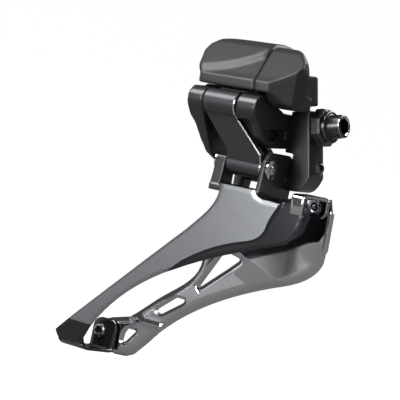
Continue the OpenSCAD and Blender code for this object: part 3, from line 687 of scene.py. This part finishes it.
def geometry_tree(name, sockets):
    tree = bpy.data.node_groups.new(name, "GeometryNodeTree")
    tree.interface.new_socket("Geometry", in_out="INPUT", socket_type="NodeSocketGeometry")
    for label, kind in sockets:
        tree.interface.new_socket(label, in_out="INPUT", socket_type="NodeSocket" + kind)
    tree.interface.new_socket("Geometry", in_out="OUTPUT", socket_type="NodeSocketGeometry")
    return tree, tree.nodes.new("NodeGroupInput").outputs, tree.nodes.new("NodeGroupOutput").inputs


def finish_tree(tree, geometry, given, end):
    """Realises what a tree made, shades it smooth and gives it its material."""
    real = tree.nodes.new("GeometryNodeRealizeInstances")
    smooth = tree.nodes.new("GeometryNodeSetShadeSmooth")
    paint = tree.nodes.new("GeometryNodeSetMaterial")
    tree.links.new(geometry, real.inputs[0])
    tree.links.new(real.outputs[0], smooth.inputs[0])
    tree.links.new(smooth.outputs[0], paint.inputs[0])
    tree.links.new(given["Finish"], paint.inputs["Material"])
    tree.links.new(paint.outputs[0], end["Geometry"])


def domed_heads_tree():
    """A domed head on every vertex of the given mesh, all facing one way."""
    sockets = [("Radius", "Float"), ("Height", "Float"), ("Direction", "Vector"), ("Finish", "Material")]
    tree, given, end = geometry_tree("domed_heads", sockets)
    ball = tree.nodes.new("GeometryNodeMeshUVSphere")
    ball.inputs["Segments"].default_value = 32
    ball.inputs["Rings"].default_value = 16
    size = tree.nodes.new("ShaderNodeCombineXYZ")
    flatten = tree.nodes.new("GeometryNodeTransform")
    face = tree.nodes.new("FunctionNodeAlignRotationToVector")
    place = tree.nodes.new("GeometryNodeInstanceOnPoints")
    for axis, label in (("X", "Radius"), ("Y", "Radius"), ("Z", "Height")):
        tree.links.new(given[label], size.inputs[axis])
    tree.links.new(ball.outputs["Mesh"], flatten.inputs["Geometry"])
    tree.links.new(size.outputs[0], flatten.inputs["Scale"])
    tree.links.new(given["Direction"], face.inputs["Vector"])
    tree.links.new(given["Geometry"], place.inputs["Points"])
    tree.links.new(flatten.outputs[0], place.inputs["Instance"])
    tree.links.new(face.outputs[0], place.inputs["Rotation"])
    finish_tree(tree, place.outputs[0], given, end)
    return tree


def thread_tree():
    """The ridge of a screw thread, climbing +Z from the origin."""
    sockets = [("Radius", "Float"), ("Length", "Float"), ("Pitch", "Float"), ("Finish", "Material")]
    tree, given, end = geometry_tree("thread_ridge", sockets)
    turns = tree.nodes.new("ShaderNodeMath")
    turns.operation = "DIVIDE"
    spiral = tree.nodes.new("GeometryNodeCurveSpiral")
    spiral.inputs["Resolution"].default_value = 36
    ridge = tree.nodes.new("GeometryNodeCurvePrimitiveCircle")
    ridge.inputs["Resolution"].default_value = 6
    width = tree.nodes.new("ShaderNodeMath")
    width.operation = "MULTIPLY"
    width.inputs[1].default_value = 0.36
    sweep = tree.nodes.new("GeometryNodeCurveToMesh")
    sweep.inputs["Fill Caps"].default_value = True
    tree.links.new(given["Length"], turns.inputs[0])
    tree.links.new(given["Pitch"], turns.inputs[1])
    tree.links.new(turns.outputs[0], spiral.inputs["Rotations"])
    tree.links.new(given["Radius"], spiral.inputs["Start Radius"])
    tree.links.new(given["Radius"], spiral.inputs["End Radius"])
    tree.links.new(given["Length"], spiral.inputs["Height"])
    tree.links.new(given["Pitch"], width.inputs[0])
    tree.links.new(width.outputs[0], ridge.inputs["Radius"])
    tree.links.new(spiral.outputs[0], sweep.inputs["Curve"])
    tree.links.new(ridge.outputs[0], sweep.inputs["Profile Curve"])
    finish_tree(tree, sweep.outputs[0], given, end)
    return tree


DOMED_HEADS = domed_heads_tree()
THREAD_RIDGE = thread_tree()


def from_tree(name, tree, points, values):
    """The mesh that a geometry tree makes from some points and its named inputs."""
    mesh = bpy.data.meshes.new(name)
    mesh.from_pydata([tuple(p) for p in points], [], [])
    piece = bpy.data.objects.new(name, mesh)
    bpy.context.scene.collection.objects.link(piece)
    modifier = piece.modifiers.new(name, "NODES")
    modifier.node_group = tree
    for socket in tree.interface.items_tree:
        if socket.in_out == "INPUT" and socket.name in values:
            modifier[socket.identifier] = values[socket.name]
    return apply_modifiers(piece)


def domed_heads(name, node, points, direction, radius, height):
    values = {"Radius": radius, "Height": height, "Direction": direction, "Finish": MATERIALS[SLOT_OF[node]]}
    piece = from_tree(name, DOMED_HEADS, points, values)
    piece.data.transform(MECH)
    return settle(piece, node)


def thread_ridge(name, node, origin, direction, radius, length, pitch):
    values = {"Radius": radius, "Length": length, "Pitch": pitch, "Finish": MATERIALS[SLOT_OF[node]]}
    piece = from_tree(name, THREAD_RIDGE, [(0, 0, 0)], values)
    turn = Vector(direction).to_track_quat("Z", "Y").to_matrix().to_4x4()
    piece.data.transform(Matrix.Translation(origin) @ turn)
    return settle(piece, node)


# ---------- clamp ----------

BLOCK_MID = -1.0
CONTACT_R = 17.3
WASHER_T = 3.5
SUPPORT_AT = Vector((0, 0.3, -13))
SUPPORT_WAY = Vector((math.cos(math.radians(138)), math.sin(math.radians(138)), 0))


def clamp_bolt():
    rings = [
        (-7.2, 0), (-7.2, 2.0), (-6.8, 2.35), (WASHER_T - 0.1, 2.35), (WASHER_T, 5.0),
        (3.75, 5.35), (4.4, 5.35),
        (4.8, 5.2), (5.0, 4.9), (5.0, 4.35), (5.25, 4.05), (9.1, 3.76, 0, 1), (9.3, 3.7), (9.5, 3.5),
        (9.6, 3.3), (9.6, 2.95, 0, 1), (9.35, 2.5, 6), (6.2, 2.5, 6), (6.2, 2.3), (5.6, 0)
    ]
    piece = turned("clamp_bolt_turned", (0, 0, 0), (1, 0, 0), rings, [MATERIALS["bolt"], CUT_EDGE])
    settle(piece, "clamp_bolt", replace=["clamp_bolt"])
    thread_ridge("clamp_bolt_thread", "clamp_bolt", (-6.8, 0, 0), (1, 0, 0), 2.3, 6.4, 0.8)


def radius_washer():
    rings = [
        (0, 2.55), (0, 5.6, 8), (0.5, 6.0, 8), (2.7, 6.0, 8, 1),
        (3.3, 5.5, 8), (WASHER_T, 5.2), (WASHER_T, 2.55)
    ]
    finishes = [MATERIALS["washer"], MATERIALS["bolt"]]
    piece = turned("radius_washer_cut", (0, 0, 0), (1, 0, 0), rings, finishes, bored=True)
    for vertex in piece.data.vertices:
        if vertex.co.x < 0.01:
            off = vertex.co.y - BLOCK_MID
            vertex.co.x = math.sqrt(CONTACT_R ** 2 - off ** 2) - CONTACT_R
    return settle(piece, "radius_washer", replace=["radius_washer"])


def support_bolt():
    rings = [(0.9, 1.5), (1.1, 1.7), (8.3, 1.7), (8.9, 1.1), (8.9, 0)]
    socket = [(2.9, 0), (2.9, 1.25, 6), (0.9, 1.25, 6)]
    piece = turned("support_bolt_turned", SUPPORT_AT, SUPPORT_WAY, socket + rings, [MATERIALS["bolt"]])
    settle(piece, "support_bolt", replace=["support_bolt"])
    start = SUPPORT_AT + SUPPORT_WAY * 1.2
    thread_ridge("support_bolt_thread", "support_bolt", start, SUPPORT_WAY, 1.72, 7.0, 0.7)


# ---------- motor unit ----------

HOUSING_MID = (mech_box("motor_shell")[0] + mech_box("motor_shell")[1]) / 2
BULGE_EDGE = resampled(curve((-40, 12), (-30, 12.6), (-20, 15), (-12, 22), 8) + [(-8, 27)], 1.0, closed=False)
BULGE_RISE = 1.0


def swell(piece):
    """Raises the smooth bulge on the rear and top of the housing."""
    turn = MECH.inverted()
    turn3 = turn.to_3x3()
    places = np.array([(turn @ v.co)[:] for v in piece.data.vertices])
    facing = np.array([(turn3 @ v.normal)[:] for v in piece.data.vertices])
    outside = ((places - np.array(HOUSING_MID)) * facing).sum(1) > 0
    above = side_of(BULGE_EDGE, places[:, [0, 2]])
    rise = BULGE_RISE * ease(above / 3 + 0.5) * outside
    moved = places + facing * rise[:, None]
    for vertex, place in zip(piece.data.vertices, moved):
        vertex.co = MECH @ Vector(place)


def motor_shell():
    piece = rounded_copy("motor_shell", "motor_shell_moulded", [MATERIALS["housing"]], 0.36, 12)
    swell(piece)
    return settle(piece, "motor_shell", replace=["motor_shell"])


def front_cover():
    piece = rounded_copy("front_cover", "front_cover_moulded", [MATERIALS["housing"]], 0.34, 8)
    return settle(piece, "front_cover", replace=["front_cover"])


# ---------- cast and forged pieces ----------

def soft_edged(node, name, voxel=0.3, passes=5):
    piece = rounded_copy(node, name, [MATERIALS[SLOT_OF[node]]], voxel, passes)
    return settle(piece, node, replace=[node])


def outer_link():
    finish = [MATERIALS["link"], CUT_EDGE]
    piece = bevelled_copy("outer_link", "outer_link_machined", finish, 0.45, 1, 62, edge_slot=1)
    return settle(piece, "outer_link", replace=["outer_link"])


# ---------- pins and rivets ----------

def pin(node, name, grooves=()):
    """A turned pin with chamfered ends, from one end of the CAD pin to the other."""
    low, high = mech_box(node)
    middle = (low + high) / 2
    radius = 1.5
    rings = [(low.x, 0), (low.x, radius - 0.25), (low.x + 0.25, radius)]
    for start, end in grooves:
        rings += [(start, radius), (start, radius - 0.4), (end, radius - 0.4), (end, radius)]
    rings += [(high.x - 0.25, radius), (high.x, radius - 0.3), (high.x, radius * 0.45)]
    rings += [(high.x - 0.3, radius * 0.3), (high.x - 0.3, 0)]
    origin = Vector((0, middle.y, middle.z))
    piece = turned(name, origin, (1, 0, 0), rings, [MATERIALS[SLOT_OF[node]]])
    piece.data.transform(MECH)
    return settle(piece, node, replace=[node])


def pins():
    pin("upper_outer_pin", "upper_outer_pin_turned")
    pin("upper_inner_pin", "upper_inner_pin_turned")
    pin("lower_outer_pin", "lower_outer_pin_turned", grooves=[(-25.45, -24.85), (-5.35, -4.75)])
    pin("lower_inner_pin", "lower_inner_pin_turned")


def spot(x, z):
    """A point of the cage's side view, hung from the carrier's lower face."""
    return (x, z + 23.5 + NECK_Z)


TAIL_RIVET = spot(-67.2, -82.6)
BRIDGE_RIVET = spot(9.8, -25)
TOP_RIVET_X = (-17.6, -10.6)
SIDE_RIVET_X = (-21.2, -13)
PORT_AT = (-2.8, -6.95)


def through_rivet(node, name, at, rim=0.8, finish=None):
    """A tubular rivet: a rolled rim with a bore in front, painted dark as shade unless another finish is given,
    and a domed head behind.
    """
    back = INNER_FACE + PLATE_T
    rings = [
        (back + 0.6, 0), (back + 0.55, 1.0), (back + 0.3, 1.7), (back, 2.0), (back, 1.2),
        (INNER_FACE - 1.0, 1.2),
        # Rings with finish 1 are the bore walls and bottom, painted with the second finish as shade in the hole.
        (INNER_FACE - 1.0, 2.3), (INNER_FACE - 1.0 - 0.6 * rim, 2.25), (INNER_FACE - 1.0 - 0.95 * rim, 2.0),
        (INNER_FACE - 1.0 - rim, 1.75), (INNER_FACE - 1.0 - 0.8 * rim, 1.4, 0, 1),
        (INNER_FACE - 1.1, 1.15, 0, 1),
        (INNER_FACE - 0.7, 1.1, 0, 1), (INNER_FACE - 0.7, 0)
    ]
    piece = turned(name, (at[0], 0, at[1]), (0, 1, 0), rings, finish or [MATERIALS["chrome"], GLOSS_BLACK_AND_BORE_SHADE])
    piece.data.transform(MECH)
    return settle(piece, node, replace=[node])


def rivets():
    through_rivet("tail_rivet", "tail_rivet_rolled", TAIL_RIVET)
    through_rivet("bridge_rivet", "bridge_rivet_rolled", BRIDGE_RIVET, 0.25, [MATERIALS["inner_plate"]] * 2)
    lows = [(x, OUTER_FACE + 4.4, NECK_Z - 2.4) for x in TOP_RIVET_X]
    domed_heads("plate_rivet_domes", "plate_rivets", lows, (0, 0, -1), 1.8, 0.5)
    sides = [(x, INNER_FACE + PLATE_T + 2.2, NECK_Z - 4.2) for x in SIDE_RIVET_X]
    domed_heads("flange_rivet_domes", "flange_rivets", sides, (0, 1, 0), 1.9, 0.55)
    contacts = [(PORT_AT[0] + side * 0.4, PORT_AT[1], 11.7) for side in (-1, 1)]
    tips = [MECH.inverted() @ Vector(p) for p in contacts]
    domed_heads("contact_pin_tips", "contact_pins", tips, (-0.2, 0, -1), 0.19, 0.2)


# ---------- cage ----------

OUTER_LOW = [spot(12.6, -28), spot(11.4, -33)] + curve(
    spot(7.8, -37.8), spot(-22.3, -47.3), spot(-54, -60.5), spot(-65.8, -85), 20)
OUTER_TOP = [spot(-78.6, -84.6)] + curve(
    spot(-29.6, -39.6), spot(-24, -33.8), spot(-18.8, -29.6), spot(-19.6, -23), 12)
OUTER_NECK = [
    spot(-19.6, -22.8), spot(-6.2, -22.8), spot(-5.2, -24.4), spot(-3, -25.2),
    spot(3.4, -25.4), spot(6.2, -23.8),
    spot(7.4, -22.4), spot(12, -22.4)
]
OUTER_END = [spot(-65.8, -85), spot(-66, -88.3), spot(-77.5, -88.3)]
OUTER_OUTLINE = Outline(OUTER_LOW + OUTER_END + OUTER_TOP + OUTER_NECK)
PANEL_EDGE = resampled(
    curve(spot(4, -23.4), spot(3.6, -27.6), spot(0.8, -29), spot(0, -34.5), 6)
    + curve(spot(0, -34.5), spot(-2.5, -39.5), spot(-6, -38.5), spot(-14, -41.8), 8)
    + curve(spot(-14, -41.8), spot(-20, -44.2), spot(-26, -47.3), spot(-34, -53.6), 5)
    + [spot(-39, -58.6), spot(-44, -66)], 0.6, closed=False)
STEP_WIDTH = 0.8
STEP_DEPTH = 0.9
TAIL_CREASE = spot(0, -79.5)[1]
TAIL_FOLD = spot(0, -84.6)[1]


def outer_relief(points):
    """Panel proud of the lower strip, the tail turned in under the cage."""
    strip = side_of(PANEL_EDGE, points)
    edge = OUTER_OUTLINE.depth(points)
    y = STEP_DEPTH * np.clip(strip / STEP_WIDTH, 0, 1)
    y += 0.9 * ((points[:, 0] + 25) / 50) ** 2
    y += 0.25 * (1 - ease(edge / 0.9))
    y += 0.10 * np.clip(TAIL_CREASE - points[:, 1], 0, None)
    drop = np.clip(TAIL_FOLD - points[:, 1], 0, None)
    return y + 1.7 * (drop / 3.7) ** 1.8


# Picks where the outer plate is painted dark as shade: the strip below the panel's step and the tail below the
# crease.
def outer_painted_shade_pick(points):
    return (side_of(PANEL_EDGE, points) > 0.05) | (points[:, 1] < TAIL_CREASE)


def outer_cage_plate():
    # The second finish is painted shade for the lower strip and the tail.
    finishes = [MATERIALS["outer_plate"], PLATE_PAINTED_SHADE]
    x0, x1 = OUTER_TOP[0][0] - 1, -60
    crease = resampled([(x0, TAIL_CREASE), (x1, TAIL_CREASE)], 0.7, closed=False)
    inside = crease[OUTER_OUTLINE.depth(crease) > 0.3]
    steps = [shifted(PANEL_EDGE, by) for by in (0, STEP_WIDTH)]
    steps = [(line[OUTER_OUTLINE.depth(line) > 0.3], False) for line in steps]
    sheet = pressed_sheet("outer_cage_sheet", OUTER_OUTLINE, [], [(inside, False)] + steps, outer_relief,
                          OUTER_FACE, 0.9, finishes, outer_painted_shade_pick, crease=16)
    settle(sheet, "outer_cage_plate", replace=["outer_cage_plate"])
    for name, path, radius, finish in cage_bends():
        settle(bent_strip(name, path, radius, 0.9, [finish]), "outer_cage_plate")


def cage_bends():
    """Name, path, corner radius and finish of each strip bent from the outer plate's edge."""
    near_side = OUTER_FACE + 1.2
    far_side = INNER_FACE - 0.5
    top = spot(0, -21.65)[1]
    flange = NECK_Z + 0.45
    low = spot(0, -88.95)[1]
    tab = spot(0, -78)[1]
    bridge = [(near_side, top - 6, 7.8, 12.1), (near_side, top, 7.4, 12), (far_side, top, 6.2, 14),
              (far_side, top - 5, 6.2, 14), (far_side, top - 6.5, 7.8, 12.4)]
    collar = [(near_side, flange - 4, -18.8, -8), (near_side, flange, -19.6, -7.4),
              (OUTER_FACE + 6.4, flange, -19.6, -7.4)]
    tail = [(OUTER_FACE + 2.8, low + 1.6, -77.5, -66.1), (OUTER_FACE + 4.4, low, -77.2, -66),
            (far_side, low, -70.8, -60.4), (far_side, tab - 2.4, -70.4, -60.2),
            (far_side, tab - 0.7, -69.2, -61.4), (far_side, tab, -67.4, -63.4)]
    return [("bridge_strip", bridge, 1.5, MATERIALS["inner_plate"]),
            # The collar strip takes the outer plate's painted shade colour.
            ("collar_strip", collar, 0.9, PLATE_PAINTED_SHADE),
            ("tail_strip", tail, 1.1, GLOSS_BLACK_AND_BORE_SHADE)]


INNER_LOW = [spot(14.2, -21.6), spot(15.4, -25.6), spot(15.4, -38)] + curve(
    spot(14.8, -42), spot(13.4, -47.4), spot(8, -50.2), spot(2.9, -52.1), 10) + curve(
    spot(2.9, -52.1), spot(-22, -60.5), spot(-39.6, -72), spot(-49.4, -85.4), 18)
INNER_TAIL = [
    spot(-52.4, -88), spot(-55.7, -89.4), spot(-60.6, -89.8), spot(-62.8, -89.4),
    spot(-66, -86), spot(-71, -85.5),
    spot(-71, -80), spot(-64, -77.4), spot(-56.3, -75.4)
]
INNER_TOP = curve(spot(-49, -69.3), spot(-41, -62), spot(-30.5, -58), spot(-31, -50), 10) + [
    spot(-29.6, -40), spot(-29.4, -31.5), spot(-28.6, -28.4), spot(-24.6, -24.7),
    spot(-5, -24.7), spot(3, -23.4),
    spot(5.4, -21.6)]
INNER_OUTLINE = Outline(INNER_LOW + INNER_TAIL + INNER_TOP)
CAGE_WINDOW = Outline(corners_rounded([spot(-30.6, -59.8), spot(-15.4, -47), spot(-22.4, -45.6)], 1.7))
CAGE_SLOT = Outline(corners_rounded([
    spot(-45.9, -70.8), spot(-43.8, -71.8), spot(-35.4, -66), spot(-35, -64.9),
    spot(-38.3, -64.8)], 0.7), 0.4)
TAIL_WINDOW = Outline(corners_rounded([
    spot(-58.2, -84.6), spot(-57, -84.6), spot(-52.9, -79.8), spot(-56.4, -79.7),
    spot(-57.8, -81.8)], 0.6), 0.4)
WINDOW_BORDER = 2.6
SLOT_BORDER = 1.1
FACET_LINE = resampled([spot(-19.5, -43.6), spot(3, -52)], 0.8, closed=False)
STIFFENING_BEAD = resampled([spot(-56, -74.9), spot(-50, -76), spot(-43, -76)], 0.5, closed=False)


def inner_relief(points):
    """Bevelled window borders, a stiffening bead, one long facet and a rolled lower edge."""
    window = np.clip(1 + CAGE_WINDOW.depth(points) / WINDOW_BORDER, 0, 1) ** 2
    slots = np.maximum(CAGE_SLOT.depth(points), TAIL_WINDOW.depth(points))
    slot = np.clip(1 + slots / SLOT_BORDER, 0, 1)
    below = np.clip(-side_of(FACET_LINE, points), 0, 7)
    bead = nearest_segment(points, STIFFENING_BEAD, False)[0]
    edge = INNER_OUTLINE.depth(points)
    lower = ease((spot(0, -31)[1] - points[:, 1]) / 6)
    roll = np.clip(1 - edge / 3, 0, 1) ** 2 * lower
    nose = np.clip(points[:, 0] - 2, 0, 13) ** 2 * ease((spot(0, -35)[1] - points[:, 1]) / 8)
    pressed = 0.8 * window + 0.4 * slot - 0.55 * np.exp(-(bead / 0.9) ** 2)
    return pressed + 0.09 * below + 0.6 * roll + 0.01 * nose


def inner_cage_plate():
    lines = [(CAGE_WINDOW.grown(WINDOW_BORDER), True), (CAGE_SLOT.grown(SLOT_BORDER), True)]
    lines.append((FACET_LINE, False))
    windows = [CAGE_WINDOW, CAGE_SLOT, TAIL_WINDOW]
    polish = [MATERIALS["inner_plate"]]
    sheet = pressed_sheet("inner_cage_sheet", INNER_OUTLINE, windows, lines, inner_relief,
                          INNER_FACE, PLATE_T, polish, lambda p: np.zeros(len(p)), cell=0.7)
    settle(sheet, "inner_cage_plate", replace=["inner_cage_plate"])
    top, low = spot(0, -25.4)[1], spot(0, -38)[1]
    rings = [(low - 1, 0), (low - 0.8, 0.6), (low, 1.0), (top - 0.6, 1.0), (top, 0.6), (top + 0.1, 0)]
    lip = turned("rolled_front_lip", (15.3, INNER_FACE + 0.5, 0), (0, 0, 1), rings, polish)
    lip.data.transform(MECH)
    settle(lip, "inner_cage_plate")


# ---------- stage ----------

VIEW_AZIMUTH = math.radians(35)
VIEW_HEIGHT = math.radians(-3)
VIEW_DISTANCE = 0.489
VIEW_AIM = Vector((-0.0326, -0.0213, -0.0234))


def seen_or_felt(tree, seen, felt):
    """A strength that is seen at one level directly and lights the object at another."""
    path = tree.nodes.new("ShaderNodeLightPath")
    extra = math_node(tree, "MULTIPLY", path.outputs["Is Camera Ray"], seen - felt)
    return math_node(tree, "ADD", extra, felt)


def stage_material(name, color, seen, felt):
    material = bpy.data.materials.new(name)
    material.use_nodes = True
    tree = material.node_tree
    shader = tree.nodes["Principled BSDF"]
    shader.inputs["Base Color"].default_value = (*color, 1)
    shader.inputs["Roughness"].default_value = 0.9
    shader.inputs["Specular IOR Level"].default_value = 0.0
    shader.inputs["Emission Color"].default_value = (1, 1, 1, 1)
    tree.links.new(seen_or_felt(tree, seen, felt), shader.inputs["Emission Strength"])
    return material


def studio_floor():
    """A pale round floor that curves up into walls all round."""
    low = cad_box[0][2] - 0.004
    rings = [(0, 0), (0, 0.5), (0, 1.0)]
    turns = [math.radians(9 * k) for k in range(1, 11)]
    rings += [(0.6 * (1 - math.cos(a)), 1.0 + 0.6 * math.sin(a)) for a in turns]
    rings.append((1.6, 1.6))
    pale = stage_material("pale_floor", (0.16, 0.16, 0.16), 0.95, 0.05)
    floor = turned("studio_floor", (0, 0, low), (0, 0, 1), rings, [pale])
    for polygon in floor.data.polygons:
        polygon.flip()


def toward(azimuth, height):
    """The direction from the object to a light or to the camera."""
    level = math.cos(height)
    return Vector((math.sin(azimuth) * level, -math.cos(azimuth) * level, math.sin(height)))


def area_light(name, azimuth, height, distance, size, energy):
    azimuth, height = math.radians(azimuth), math.radians(height)
    way = toward(azimuth, height)
    lamp = bpy.data.lights.new(name, "AREA")
    lamp.shape = "RECTANGLE"
    lamp.size, lamp.size_y = size
    lamp.energy = energy
    light = bpy.data.objects.new(name, lamp)
    light.location = VIEW_AIM + way * distance
    light.rotation_euler = way.to_track_quat("Z", "Y").to_euler()
    bpy.context.scene.collection.objects.link(light)


def room_light():
    world = bpy.data.worlds.new("soft_room")
    world.use_nodes = True
    world.node_tree.nodes["Background"].inputs["Color"].default_value = (1, 1, 1, 1)
    tree = world.node_tree
    tree.links.new(seen_or_felt(tree, 1.0, 0.12), tree.nodes["Background"].inputs["Strength"])
    bpy.context.scene.world = world


def camera():
    way = toward(VIEW_AZIMUTH, VIEW_HEIGHT)
    lens = bpy.data.cameras.new("view")
    lens.lens = 135
    lens.sensor_width = 36
    lens.clip_start = 0.01
    view = bpy.data.objects.new("view", lens)
    view.location = VIEW_AIM + way * VIEW_DISTANCE
    view.rotation_euler = way.to_track_quat("Z", "Y").to_euler()
    bpy.context.scene.collection.objects.link(view)
    bpy.context.scene.camera = view


def studio():
    bpy.context.scene.view_settings.view_transform = "Standard"
    studio_floor()
    area_light("key_softbox", -20, 56, 0.8, (0.5, 0.4), 7.0)
    area_light("plate_softbox", -12, 12, 1.0, (0.3, 0.4), 4.2)
    area_light("plate_panel", -46, -1, 1.0, (0.5, 0.5), 0.33)
    area_light("front_strip", 57, 6, 0.8, (0.14, 0.5), 0.9)
    area_light("rear_strip", -127, 8, 0.8, (0.2, 0.6), 2.0)
    area_light("back_softbox", 150, 38, 0.8, (0.6, 0.3), 3.5)
    room_light()
    camera()


# ---------- assembly ----------

dress_cad_nodes()
soft_edged("base_bracket", "base_bracket_cast", 0.3, 5)
soft_edged("clamp_block", "clamp_block_cast", 0.26, 4)
soft_edged("carrier", "carrier_forged", 0.26, 4)
soft_edged("inner_link", "inner_link_cast", 0.28, 4)
soft_edged("drive_link", "drive_link_pressed", 0.2, 3)
soft_edged("drive_arm", "drive_arm_pressed", 0.2, 3)
motor_shell()
front_cover()
outer_link()
clamp_bolt()
radius_washer()
support_bolt()
pins()
rivets()
outer_cage_plate()
inner_cage_plate()
studio()
